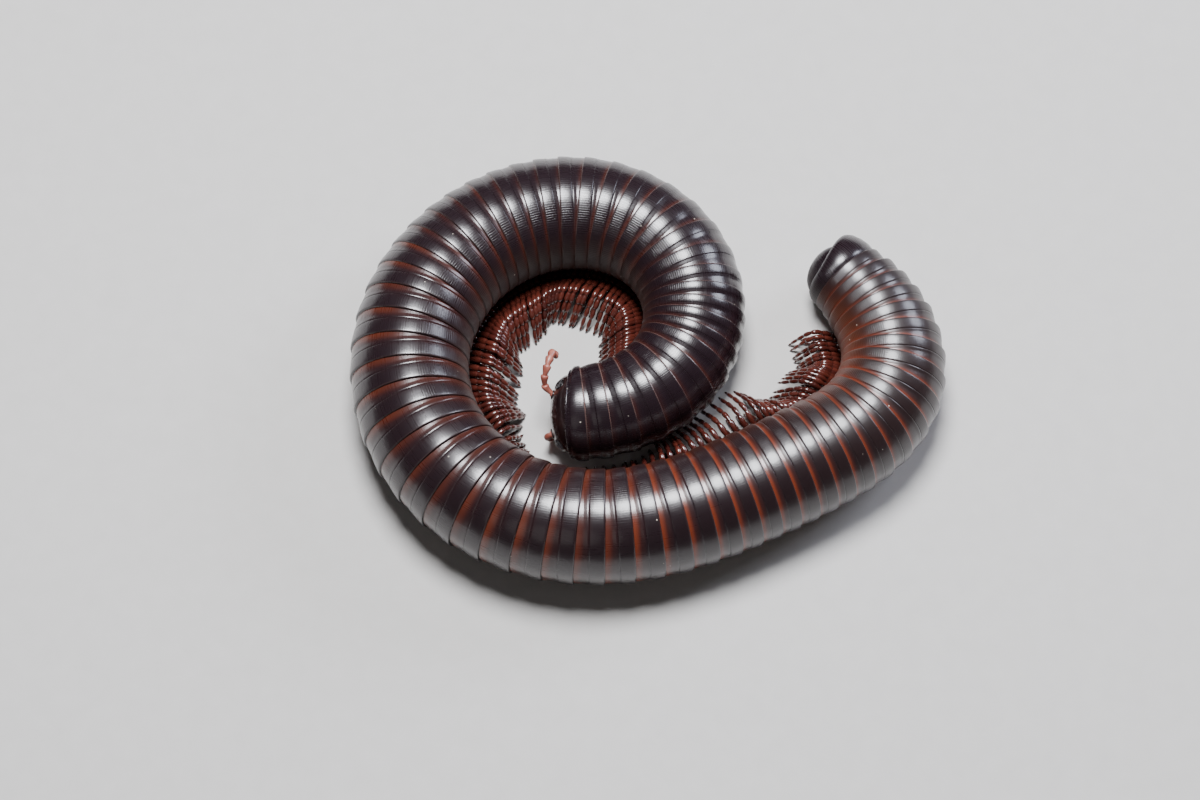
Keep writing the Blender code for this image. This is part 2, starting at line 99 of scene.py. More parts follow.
@dataclass
class Spine:
    """The body's axis, with the sizes, roll and ring spacing that follow it.

    Each stop is a place along the body with the value there: turn in tenths of a degree a
    millimetre, radius and pitch in millimetres, roll in degrees.
    """

    head_x: float = -12.6
    head_y: float = -7.1
    head_heading_deg: float = -0.4
    head_roll_deg: float = 26.0
    turn: Stops = (
        (0, 19.7), (20, 38.4), (40, 35.3), (60, 24.3), (80, 21.7), (100, 23.0), (120, 21.7),
        (140, 16.6), (160, 3.6), (172, 4.0), (182, 34.0), (192, 42.0), (202, 22.0), (216, 8.0),
    )
    radius: Stops = (
        (0, 7.1), (28, 7.8), (57, 8.7), (86, 9.05), (114, 8.9), (143, 8.6), (171, 8.5),
        (190, 8.1), (200, 7.5), (206, 6.8), (212, 5.7),
    )
    roll: Stops = ((0, 35), (20, 38), (150, 40), (190, 40), (216, 36))
    pitch: Stops = (
        (0, 3.2), (16, 3.2), (22, 2.1), (28, 2.1), (34, 3.2), (52, 3.2), (60, 2.75), (78, 2.8),
        (86, 3.5), (100, 3.85), (116, 3.75), (148, 3.6), (156, 3.0), (186, 2.8), (200, 2.6),
        (216, 2.0),
    )
    turn_unit_deg: float = 0.1
    step: float = 0.25
    ring_count: int = 67
    rings_a_length: int = 5
    collar_length: float = 3.2
    tail_length: float = 3.0
    flat_sides: int = 16
    edges: list[float] = field(init=False)

    def __post_init__(self) -> None:
        """Works out the ring edges and the axis."""
        self.edges = [self.collar_length]
        for _ in range(self.ring_count):
            self.edges.append(self.edges[-1] + float(stop_value(self.pitch, self.edges[-1])))
        self.s = np.arange(0.0, self.edges[-1] + self.tail_length + self.step, self.step)
        turn = stop_value(self.turn, self.s) * math.radians(self.turn_unit_deg)
        steps = np.concatenate([[0.0], (turn[1:] + turn[:-1]) / 2 * self.step])
        self.heading = math.radians(self.head_heading_deg) + np.cumsum(steps)
        middle = (self.heading[1:] + self.heading[:-1]) / 2
        self.x = self.head_x + np.concatenate([[0.0], np.cumsum(np.cos(middle) * self.step)])
        self.y = self.head_y + np.concatenate([[0.0], np.cumsum(np.sin(middle) * self.step)])

    def height(self, radius: np.ndarray | float) -> np.ndarray:
        """Returns how high the axis of a section lies when the section rests on the floor."""
        return np.asarray(radius) * math.cos(math.pi / self.flat_sides)

    def axis(self, s: np.ndarray | float) -> tuple[np.ndarray, np.ndarray, np.ndarray]:
        """Gives the axis at places along the body.

        Args:
            s: Places, in millimetres from the collar's front.

        Returns:
            The axis points, the directions towards the tail and those towards the inner side.
        """
        s = np.atleast_1d(np.asarray(s, float))
        heading = np.interp(s, self.s, self.heading)
        along = np.stack([np.cos(heading), np.sin(heading), np.zeros_like(s)], 1)
        inward = np.stack([-along[:, 1], along[:, 0], np.zeros_like(s)], 1)
        height = self.height(stop_value(self.radius, s))
        point = np.stack([np.interp(s, self.s, self.x), np.interp(s, self.s, self.y), height], 1)
        beyond = np.minimum(s, 0.0) + np.maximum(s - self.s[-1], 0.0)
        return point + along * beyond[:, None], along, inward

    def on_section(self, s: float, angle: float, radius: float, standing: float | None = None) -> Vector:
        """Gives one point of a section.

        Args:
            s: Place along the body.
            angle: Angle from straight down towards the inner side, in radians.
            radius: Distance from the axis.
            standing: Radius of the section that rests on the floor, or None for the body's own.

        Returns:
            The point in millimetres.
        """
        point, _, inward = (Vector(item[0]) for item in self.axis(s))
        if standing is not None:
            point.z = float(self.height(standing))
        return point + (inward * math.sin(angle) - Vector((0.0, 0.0, math.cos(angle)))) * radius


@dataclass
class Path:
    """One path that a round section is swept along."""

    points: np.ndarray
    size: np.ndarray
    phase: np.ndarray
    extra: dict[str, np.ndarray] = field(default_factory=dict)


def add_node(tree: Tree, kind: str, inputs: dict | None = None, **settings: object) -> bpy.types.Node:
    """Adds one node to a tree.

    Args:
        tree: The tree that takes the node.
        kind: The node's type name.
        inputs: Values or output sockets for the node's inputs, by name or number.
        settings: Properties of the node.

    Returns:
        The new node.
    """
    node = tree.nodes.new(kind)
    for name, value in settings.items():
        setattr(node, name, value)
    for name, value in (inputs or {}).items():
        if isinstance(value, bpy.types.Node):
            value = value.outputs[0]
        if isinstance(value, Socket):
            tree.links.new(value, node.inputs[name])
        else:
            node.inputs[name].default_value = value
    return node


def math_node(tree: Tree, operation: str, *values: object) -> Socket:
    """Adds a Math node and returns its output."""
    return add_node(tree, "ShaderNodeMath", dict(enumerate(values)), operation=operation).outputs[0]


def times(tree: Tree, *values: object) -> Socket:
    """Multiplies values.

    Args:
        tree: The tree that takes the nodes.
        values: Numbers, nodes or output sockets.

    Returns:
        Their product.
    """
    product = values[0]
    for value in values[1:]:
        product = math_node(tree, "MULTIPLY", product, value)
    return product


def new_group(
    name: str, kind: str, inputs: dict[str, str], outputs: dict[str, str]
) -> tuple[Tree, bpy.types.NodeOutputs]:
    """Starts a node group.

    Args:
        name: Name of the group.
        kind: Type name of its tree.
        inputs: Kinds of the sockets that it is given, by name.
        outputs: Kinds of the sockets that it puts out, by name.

    Returns:
        The tree, and the sockets in it that hold what it is given.
    """
    tree = bpy.data.node_groups.new(name, kind)
    for way, sockets in (("INPUT", inputs), ("OUTPUT", outputs)):
        for socket, held in sockets.items():
            tree.interface.new_socket(socket, in_out=way, socket_type=f"NodeSocket{held}")
    return tree, add_node(tree, "NodeGroupInput").outputs


def add_object(name: str, data: bpy.types.ID) -> Object:
    """Adds an object to the scene.

    Args:
        name: Name of the object.
        data: Its mesh, light or camera.

    Returns:
        The object.
    """
    obj = bpy.data.objects.new(name, data)
    bpy.context.scene.collection.objects.link(obj)
    return obj


def remove_object(obj: Object) -> None:
    """Removes an object and its mesh.

    Args:
        obj: The object.
    """
    mesh = obj.data
    bpy.data.objects.remove(obj)
    bpy.data.meshes.remove(mesh)


def set_attribute(obj: Object, key: str, numbers: np.ndarray) -> None:
    """Writes one number a vertex as an attribute."""
    layer = obj.data.attributes.new(key, "FLOAT", "POINT")
    layer.data.foreach_set("value", numbers.astype(np.float32))


def get_attribute(obj: Object, key: str) -> np.ndarray:
    """Reads an attribute that has one number a vertex.

    Args:
        obj: The object.
        key: Name of the attribute.

    Returns:
        The numbers.
    """
    numbers = np.empty(len(obj.data.vertices), np.float32)
    obj.data.attributes[key].data.foreach_get("value", numbers)
    return numbers


@dataclass
class Sweep:
    """Geometry nodes that sweep a round section along paths with a repeating thickness profile."""

    name: str
    profile: Stops
    sides: int
    on_floor: bool = False
    level: bool = False

    def tree(self) -> Tree:
        """Builds the node tree.

        Returns:
            A geometry node group with the inputs Sides, Thickness and Finish.
        """
        wanted = {"Geometry": "Geometry", "Sides": "Int", "Thickness": "Float", "Finish": "Material"}
        tree, given = new_group(self.name, "GeometryNodeTree", wanted, {"Geometry": "Geometry"})
        phase, size = (
            add_node(tree, "GeometryNodeInputNamedAttribute", {"Name": name}, data_type="FLOAT")
            for name in ("phase", "size")
        )
        curve = add_node(tree, "ShaderNodeFloatCurve", {"Value": math_node(tree, "FRACT", phase)})
        points = curve.mapping.curves[0].points
        for number, stop in enumerate(self.profile):
            # A new curve has two points already.
            if number < 2:
                point = points[number]
                point.location = stop
            else:
                point = points.new(*stop)
            point.handle_type = "VECTOR"
        curve.mapping.update()
        radius = times(tree, curve, size, given["Thickness"])
        path = add_node(tree, "GeometryNodeMeshToCurve", {"Mesh": given["Geometry"]})
        if self.level:
            path = add_node(tree, "GeometryNodeSetCurveNormal", {"Curve": path}, mode="Z_UP")
        path = add_node(tree, "GeometryNodeSetCurveRadius", {"Curve": path, "Radius": radius})
        wanted = {"Resolution": given["Sides"], "Radius": 1.0}
        circle = add_node(tree, "GeometryNodeCurvePrimitiveCircle", wanted)
        wanted = {"Curve": path, "Profile Curve": circle, "Fill Caps": True}
        tube = add_node(tree, "GeometryNodeCurveToMesh", wanted)
        # Where the node has this input, it takes the radius from nowhere else.
        if "Scale" in tube.inputs:
            tree.links.new(add_node(tree, "GeometryNodeInputRadius").outputs[0], tube.inputs["Scale"])
        if self.on_floor:
            place = add_node(tree, "GeometryNodeInputPosition")
            x, y, z = add_node(tree, "ShaderNodeSeparateXYZ", {0: place}).outputs
            high = math_node(tree, "MAXIMUM", z, 0.0)
            kept = add_node(tree, "ShaderNodeCombineXYZ", {0: x, 1: y, 2: high})
            tube = add_node(tree, "GeometryNodeSetPosition", {"Geometry": tube, "Position": kept})
        real = add_node(tree, "GeometryNodeRealizeInstances", {"Geometry": tube})
        done = add_node(tree, "GeometryNodeSetMaterial", {"Geometry": real, "Material": given["Finish"]})
        add_node(tree, "NodeGroupOutput", {0: done})
        return tree

    def make(self, name: str, paths: list[Path], finish: Material, tree: Tree) -> Object:
        """Sweeps the section along paths and turns the result into a plain mesh.

        Args:
            name: Name of the new object.
            paths: The paths, in millimetres.
            finish: Material of the piece.
            tree: The tree that tree() built.

        Returns:
            The finished object.
        """
        mesh = bpy.data.meshes.new(name)
        starts = np.cumsum([0] + [len(path.points) for path in paths])
        points = np.concatenate([path.points for path in paths]) * MM
        edges = [(k, k + 1) for a, b in zip(starts, starts[1:]) for k in range(a, b - 1)]
        mesh.from_pydata(points.tolist(), edges, [])
        guide = add_object(name, mesh)
        values = [{"size": path.size, "phase": path.phase, **path.extra} for path in paths]
        for key in values[0]:
            set_attribute(guide, key, np.concatenate([value[key] for value in values]))
        modifier = guide.modifiers.new("sweep", "NODES")
        modifier.node_group = tree
        names = {item.name: item.identifier for item in tree.interface.items_tree if item.in_out == "INPUT"}
        modifier[names["Sides"]] = self.sides
        modifier[names["Thickness"]] = MM
        modifier[names["Finish"]] = finish
        return plain_copy(guide, name)


def plain_copy(guide: Object, name: str) -> Object:
    """Turns an evaluated object into a plain mesh object and removes the guide.

    Args:
        guide: The object with live modifiers.
        name: Name of the new object.

    Returns:
        The plain mesh object, shaded smooth, with its faces pointing outwards.
    """
    graph = bpy.context.evaluated_depsgraph_get()
    made = bpy.data.meshes.new_from_object(guide.evaluated_get(graph))
    remove_object(guide)
    made.name = name
    face_outwards(made)
    return add_object(name, made)


def face_outwards(mesh: bpy.types.Mesh) -> None:
    """Turns a closed mesh's faces outwards and shades it smooth.

    Args:
        mesh: The mesh.
    """
    bm = bmesh.new()
    bm.from_mesh(mesh)
    if bm.calc_volume(signed=True) < 0:
        bmesh.ops.reverse_faces(bm, faces=bm.faces)
    bm.to_mesh(mesh)
    bm.free()
    mesh.shade_smooth()
    mesh.set_sharp_from_angle(angle=math.radians(SHARP_DEG))


def dress(obj: Object, slot: Slot, *nodes: str) -> Object:
    """Fixes a finished piece to the body.

    Args:
        obj: The piece.
        slot: The material slot that the piece stands for; not used.
        nodes: The solid nodes that it stands for.

    Returns:
        The same piece.
    """
    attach(obj, BODY)
    if nodes:
        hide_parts(*nodes)
    log.info("%s: %d faces", obj.name, len(obj.data.polygons))
    return obj


class Groups:
    """Shader node groups that several finishes share, each built once."""

    speck_edge: Range = (0.13, 0.08)
    fine_share: float = 0.35

    def __init__(self) -> None:
        """Builds every group."""
        self.dust = self.build_dust()
        self.relief = self.build_relief()

    def build_dust(self) -> Tree:
        """Builds the group that scatters small pale specks.

        Returns:
            A group with the inputs Size and Amount and the output Mask.
        """
        wanted = {"Size": "Float", "Amount": "Float"}
        tree, given = new_group("dust_specks", "ShaderNodeTree", wanted, {"Mask": "Float"})
        place = add_node(tree, "ShaderNodeTexCoord").outputs["Object"]
        scale = math_node(tree, "DIVIDE", 1.0, given["Size"])
        wanted = {"Vector": place, "Scale": scale, "Randomness": 1.0}
        cells = add_node(tree, "ShaderNodeTexVoronoi", wanted).outputs
        spot = ramp(tree, cells["Distance"], self.speck_edge, smooth=False)
        chance = add_node(tree, "ShaderNodeSeparateColor", {0: cells["Color"]}).outputs[0]
        kept = math_node(tree, "LESS_THAN", chance, given["Amount"])
        add_node(tree, "NodeGroupOutput", {0: times(tree, spot, kept)})
        return tree

    def build_relief(self) -> Tree:
        """Builds the group of fine pits and dents in the horn.

        Returns:
            A group with the inputs Fine and Coarse, in waves a metre, and the output Height.
        """
        wanted = {"Fine": "Float", "Coarse": "Float"}
        tree, given = new_group("horn_relief", "ShaderNodeTree", wanted, {"Height": "Float"})
        fine = noise(tree, given["Fine"], detail=3.0)
        coarse = noise(tree, given["Coarse"], detail=2.0)
        add_node(tree, "NodeGroupOutput", {0: math_node(tree, "MULTIPLY_ADD", fine, self.fine_share, coarse)})
        return tree


def new_material(name: str) -> tuple[Material, Tree, bpy.types.Node]:
    """Makes an empty material.

    Args:
        name: Name of the material.

    Returns:
        The material, its node tree and its Principled shader.
    """
    material = bpy.data.materials.new(name)
    material.use_nodes = True
    tree = material.node_tree
    return material, tree, tree.nodes["Principled BSDF"]


def attribute(tree: Tree, name: str) -> Socket:
    """Returns the value of one of the piece's own attributes."""
    return add_node(tree, "ShaderNodeAttribute", attribute_name=name).outputs["Fac"]


def noise(tree: Tree, scale: float | Socket, detail: float, vector: Socket | None = None) -> Socket:
    """Adds a noise texture.

    Args:
        tree: The tree that takes the nodes.
        scale: Waves a metre, or waves a unit of the vector.
        detail: How many finer layers are added.
        vector: What the noise runs over, or None for the piece's own coordinates.

    Returns:
        The noise, from 0 to 1.
    """
    if vector is None:
        vector = add_node(tree, "ShaderNodeTexCoord").outputs["Object"]
    wanted = {"Vector": vector, "Scale": scale, "Detail": detail}
    return add_node(tree, "ShaderNodeTexNoise", wanted).outputs[0]


def ramp(tree: Tree, value: object, span: Range, smooth: bool = True) -> Socket:
    """Turns a value into a share.

    Args:
        tree: The tree that takes the node.
        value: The value.
        span: The values that give 0 and 1.
        smooth: Whether the share starts and ends softly.

    Returns:
        The share, held at 0 and 1 outside the span.
    """
    kind = "SMOOTHSTEP" if smooth else "LINEAR"
    wanted = {"Value": value, "From Min": span[0], "From Max": span[1], "To Min": 0.0, "To Max": 1.0}
    return add_node(tree, "ShaderNodeMapRange", wanted, interpolation_type=kind).outputs[0]


def mix(tree: Tree, share: object, first: Socket | Colour, second: Socket | Colour) -> Socket:
    """Mixes two colours.

    Args:
        tree: The tree that takes the node.
        share: Share of the second colour.
        first: A socket or a colour.
        second: A socket or a colour.

    Returns:
        The mixed colour.
    """
    node = add_node(tree, "ShaderNodeMix", {0: share}, data_type="RGBA")
    for number, value in ((6, first), (7, second)):
        if isinstance(value, Socket):
            tree.links.new(value, node.inputs[number])
        else:
            node.inputs[number].default_value = (*value, 1.0)
    return node.outputs[2]


def mix_value(tree: Tree, share: object, first: object, second: object) -> Socket:
    """Returns a mix of two values."""
    return add_node(tree, "ShaderNodeMix", {0: share, 2: first, 3: second}, data_type="FLOAT").outputs[0]


@dataclass(frozen=True, kw_only=True)
class Finish:
    """What every finish of the body has: gloss, fine relief and specks of dust."""

    name: str
    ior: float = 1.56
    coat: float = 0.4
    coat_roughness: float = 0.1
    fine: float = 3200.0
    coarse: float = 600.0
    bump: float = 0.3
    bump_depth: float = 0.00004
    speck_size: float = 0.0015
    speckle: float = 0.03
    dust: Colour = (0.55, 0.50, 0.42)

    def surface(self, tree: Tree, groups: Groups, relief: Socket) -> tuple[dict[str, Socket], Socket]:
        """Builds what changes over the surface.

        Args:
            tree: The material's node tree.
            groups: The shared node groups.
            relief: Height of the fine relief.

        Returns:
            Sockets for the shader's inputs, by name, and the height that dents the surface.
        """
        raise NotImplementedError

    def material(self, groups: Groups) -> Material:
        """Builds the material.

        Args:
            groups: The shared node groups.

        Returns:
            The material.
        """
        material, tree, shader = new_material(self.name)
        wanted = {"Fine": self.fine, "Coarse": self.coarse}
        relief = add_node(tree, "ShaderNodeGroup", wanted, node_tree=groups.relief).outputs[0]
        shader.inputs["IOR"].default_value = self.ior
        shader.inputs["Coat Weight"].default_value = self.coat
        shader.inputs["Coat Roughness"].default_value = self.coat_roughness
        links, height = self.surface(tree, groups, relief)
        wanted = {"Height": height, "Strength": self.bump, "Distance": self.bump_depth}
        links["Normal"] = add_node(tree, "ShaderNodeBump", wanted).outputs[0]
        for name, socket in links.items():
            tree.links.new(socket, shader.inputs[name])
        return material

    def dusted(self, tree: Tree, groups: Groups, base: Socket) -> Socket:
        """Puts specks of dust over a colour.

        Args:
            tree: The material's node tree.
            groups: The shared node groups.
            base: The colour under the dust.

        Returns:
            The colour with the dust.
        """
        wanted = {"Size": self.speck_size, "Amount": self.speckle}
        speck = add_node(tree, "ShaderNodeGroup", wanted, node_tree=groups.dust).outputs[0]
        return mix(tree, speck, base, self.dust)


@dataclass(frozen=True, kw_only=True)
class ShellFinish(Finish):
    """Glossy ring shell: a coloured band in front, a pale fringe that is partly painted highlight, and a thin
    rear edge darkened with painted shade.

    Places in a ring run from 0 at the hidden front of its sleeve to 1 at its rear edge. Heights on
    the section are cosines of the angle from the back.
    """

    name: str = "ring_shell"
    ior: float = 1.54
    coat: float = 0.30
    coat_roughness: float = 0.16
    fine: float = 2600.0
    coarse: float = 420.0
    bump: float = 0.35
    speck_size: float = 0.0010
    speckle: float = 0.026
    dark: Colour = (0.0120, 0.0058, 0.0085)
    rear_dark: Colour = (0.0165, 0.0080, 0.0080)
    flank: Colour = (0.018, 0.0085, 0.0065)
    warm_flank: Colour = (0.125, 0.030, 0.010)
    band: Colour = (0.095, 0.022, 0.010)
    bright_band: Colour = (0.165, 0.029, 0.011)
    # Pale rim colour, partly the ring's own pale fringe, partly painted highlight along the rear edge.
    fringe_and_highlight: Colour = (0.20, 0.115, 0.095)
    # Near-black painted shade for the step at each ring's rear edge and inside the gland openings.
    edge: Colour = (0.003, 0.002, 0.002)
    clouds: float = 260.0
    blotches: float = 70.0
    low_flank: Range = (0.15, -0.55)
    warm_reach: Range = (0.50, -0.35)
    flank_blotch: Range = (0.25, 0.65)
    raggedness: float = 0.35
    band_end: Range = (1.45, 0.30)
    band_blotch: Range = (0.35, 0.65)
    patch_gain: float = 2.4
    whole_gain: float = 1.2
    stain_end: Range = (2.6, 0.8)
    stain: float = 0.22
    fringe_and_highlight_zone: Range = (0.942, 0.954)
    fringe_and_highlight_breaks: Range = (0.25, 0.60)
    edge_shade_zone: Range = (0.975, 0.987)
    streaks: float = 42.0
    streak_depth: float = 0.5
    gloss: Range = (0.19, 0.36)
    rear_share: float = 0.8
    rear_roughness: float = 0.37
    low_roughness: float = 0.52
    coat_end: Range = (0.65, 0.10)
    striae: float = 150.0
    striae_form: Range = (-0.2, 0.75)
    striae_start: Range = (0.78, 0.30)
    striae_least: float = 0.10
    striae_front: Range = (0.50, 0.54)
    striae_rear: Range = (0.96, 0.92)
    striae_depth: float = 1.5
    pore_up: float = 0.35
    pore_ring: float = 0.62
    pore_size: float = 0.17
    pore_floor: float = 0.6
    pore_depth: float = -2.5
    body_radius: float = 8.9
    plate_length: float = 4.6

    def surface(self, tree: Tree, groups: Groups, relief: Socket) -> tuple[dict[str, Socket], Socket]:
        """Builds what changes over the surface.

        Args:
            tree: The material's node tree.
            groups: The shared node groups.
            relief: Height of the fine relief.

        Returns:
            Sockets for the shader's inputs, by name, and the height that dents the surface.
        """
        phase = attribute(tree, "phase")
        ring = math_node(tree, "FRACT", phase)
        up = attribute(tree, "up")
        angle = math_node(tree, "ARCTAN2", attribute(tree, "side"), up)
        low = ramp(tree, up, self.low_flank)
        pore = self.pore(tree, ring, up)
        base = self.dusted(tree, groups, self.colour(tree, ring, up, low))
        # Painted shade inside the gland opening.
        base = mix(tree, pore, base, self.edge)

        grid = add_node(tree, "ShaderNodeCombineXYZ", {0: times(tree, angle, self.streaks), 1: phase})
        streak = noise(tree, scale=1.0, detail=3.0, vector=grid.outputs[0])
        rear = times(tree, attribute(tree, "warmth"), self.rear_share)
        rough = mix_value(tree, rear, mix_value(tree, streak, *self.gloss), self.rear_roughness)
        rough = mix_value(tree, low, rough, self.low_roughness)
        coat = mix_value(tree, ramp(tree, up, self.coat_end), self.coat, 0.0)

        lines = self.lines(tree, ring, up, angle)
        height = relief
        for form, depth in ((lines, self.striae_depth), (pore, self.pore_depth), (streak, self.streak_depth)):
            height = math_node(tree, "MULTIPLY_ADD", form, depth, height)
        return {"Base Color": base, "Roughness": rough, "Coat Weight": coat}, height

    def colour(self, tree: Tree, ring: Socket, up: Socket, low: Socket) -> Socket:
        """Paints the shell.

        Args:
            tree: The material's node tree.
            ring: Place in the ring.
            up: Height on the section.
            low: Share of the low flank.

        Returns:
            The colour, without dust.
        """
        clouds = noise(tree, self.clouds, detail=4.0)
        broad = noise(tree, self.blotches, detail=2.0)
        warmth = attribute(tree, "warmth")
        glow = attribute(tree, "glow")
        reach = mix_value(tree, warmth, low, ramp(tree, up, self.warm_reach))
        share = times(tree, reach, ramp(tree, broad, self.flank_blotch))
        flank = mix(tree, warmth, self.flank, self.warm_flank)
        base = mix(tree, share, mix(tree, warmth, self.dark, self.rear_dark), flank)

        band = mix(tree, glow, self.band, self.bright_band)
        ragged = math_node(tree, "MULTIPLY_ADD", clouds, self.raggedness, attribute(tree, "bare"))
        base = mix(tree, times(tree, ramp(tree, ragged, self.stain_end), glow, self.stain), base, band)
        patchy = times(tree, ramp(tree, broad, self.band_blotch), self.patch_gain)
        shown = times(tree, glow, mix_value(tree, glow, patchy, self.whole_gain))
        shown = times(tree, ramp(tree, ragged, self.band_end), math_node(tree, "MINIMUM", shown, 1.0))
        base = mix(tree, shown, base, band)

        # Pale line before each rear edge: partly the ring's own fringe, partly painted highlight.
        breaks = ramp(tree, clouds, self.fringe_and_highlight_breaks)
        line = times(tree, ramp(tree, ring, self.fringe_and_highlight_zone), breaks, attribute(tree, "fringe_and_highlight"))
        base = mix(tree, line, base, self.fringe_and_highlight)
        # Painted shade along each ring's rear edge, where the step to the next ring lies.
        return mix(tree, ramp(tree, ring, self.edge_shade_zone), base, self.edge)

    def lines(self, tree: Tree, ring: Socket, up: Socket, angle: Socket) -> Socket:
        """Marks the fine lines along the rear half of each ring.

        Args:
            tree: The material's node tree.
            ring: Place in the ring.
            up: Height on the section.
            angle: Angle from the back.

        Returns:
            A mask that is 1 on the lines.
        """
        waves = math_node(tree, "SINE", times(tree, angle, self.striae))
        zone = mix_value(tree, ramp(tree, up, self.striae_start), self.striae_least, 1.0)
        ends = (ramp(tree, ring, span) for span in (self.striae_front, self.striae_rear))
        return times(tree, ramp(tree, waves, self.striae_form), zone, *ends)

    def pore(self, tree: Tree, ring: Socket, up: Socket) -> Socket:
        """Marks the small gland opening on each flank of a ring.

        Args:
            tree: The material's node tree.
            ring: Place in the ring.
            up: Height on the section.

        Returns:
            A mask that is 1 in the opening.
        """
        across = times(tree, math_node(tree, "SUBTRACT", up, self.pore_up), self.body_radius)
        along = times(tree, math_node(tree, "SUBTRACT", ring, self.pore_ring), self.plate_length)
        square = math_node(tree, "MULTIPLY_ADD", across, across, times(tree, along, along))
        return ramp(tree, math_node(tree, "SQRT", square), (self.pore_size, self.pore_size * self.pore_floor))


@dataclass(frozen=True, kw_only=True)
class LegFinish(Finish):
    """Glossy maroon leg horn with darker joints and a dark claw."""

    name: str = "leg_horn"
    coat: float = 0.5
    coat_roughness: float = 0.06
    fine: float = 4200.0
    coarse: float = 900.0
    bump: float = 0.2
    bump_depth: float = 0.00003
    deep: Colour = (0.030, 0.006, 0.005)
    bright: Colour = (0.105, 0.022, 0.014)
    joint: Colour = (0.030, 0.007, 0.005)
    claw: Colour = (0.008, 0.004, 0.003)
    clouds: float = 500.0
    cloud_share: float = 0.5
    tone_share: float = 0.6
    joint_zone: Range = (0.40, 0.49)
    joint_share: float = 0.6
    claw_zone: Range = (7.3, 7.5)
    gloss: Range = (0.12, 0.27)

    def surface(self, tree: Tree, groups: Groups, relief: Socket) -> tuple[dict[str, Socket], Socket]:
        """Builds what changes over the surface.

        Args:
            tree: The material's node tree.
            groups: The shared node groups.
            relief: Height of the fine relief.

        Returns:
            Sockets for the shader's inputs, by name, and the height that dents the surface.
        """
        phase = attribute(tree, "phase")
        clouds = noise(tree, self.clouds, detail=3.0)
        tone = times(tree, attribute(tree, "tone"), self.tone_share)
        share = math_node(tree, "MULTIPLY_ADD", clouds, self.cloud_share, tone)
        base = mix(tree, share, self.deep, self.bright)
        from_middle = math_node(tree, "SUBTRACT", math_node(tree, "FRACT", phase), 0.5)
        joint = ramp(tree, math_node(tree, "ABSOLUTE", from_middle), self.joint_zone)
        base = mix(tree, times(tree, joint, self.joint_share), base, self.joint)
        base = mix(tree, ramp(tree, phase, self.claw_zone), base, self.claw)
        return {"Base Color": base, "Roughness": mix_value(tree, clouds, *self.gloss)}, relief


@dataclass(frozen=True, kw_only=True)
class HornFinish(Finish):
    """Plain horn whose colour clouds between two tones, for head, sockets, mouthparts and antennae."""

    deep: Colour
    bright: Colour
    gloss: Range = (0.20, 0.32)
    clouds: float = 240.0
    tones: Range = (0.30, 0.70)

    def surface(self, tree: Tree, groups: Groups, relief: Socket) -> tuple[dict[str, Socket], Socket]:
        """Builds what changes over the surface.

        Args:
            tree: The material's node tree.
            groups: The shared node groups.
            relief: Height of the fine relief.

        Returns:
            Sockets for the shader's inputs, by name, and the height that dents the surface.
        """
        clouds = noise(tree, self.clouds, detail=4.0)
        base = mix(tree, ramp(tree, clouds, self.tones), self.deep, self.bright)
        base = self.dusted(tree, groups, base)
        return {"Base Color": base, "Roughness": mix_value(tree, clouds, *self.gloss)}, relief


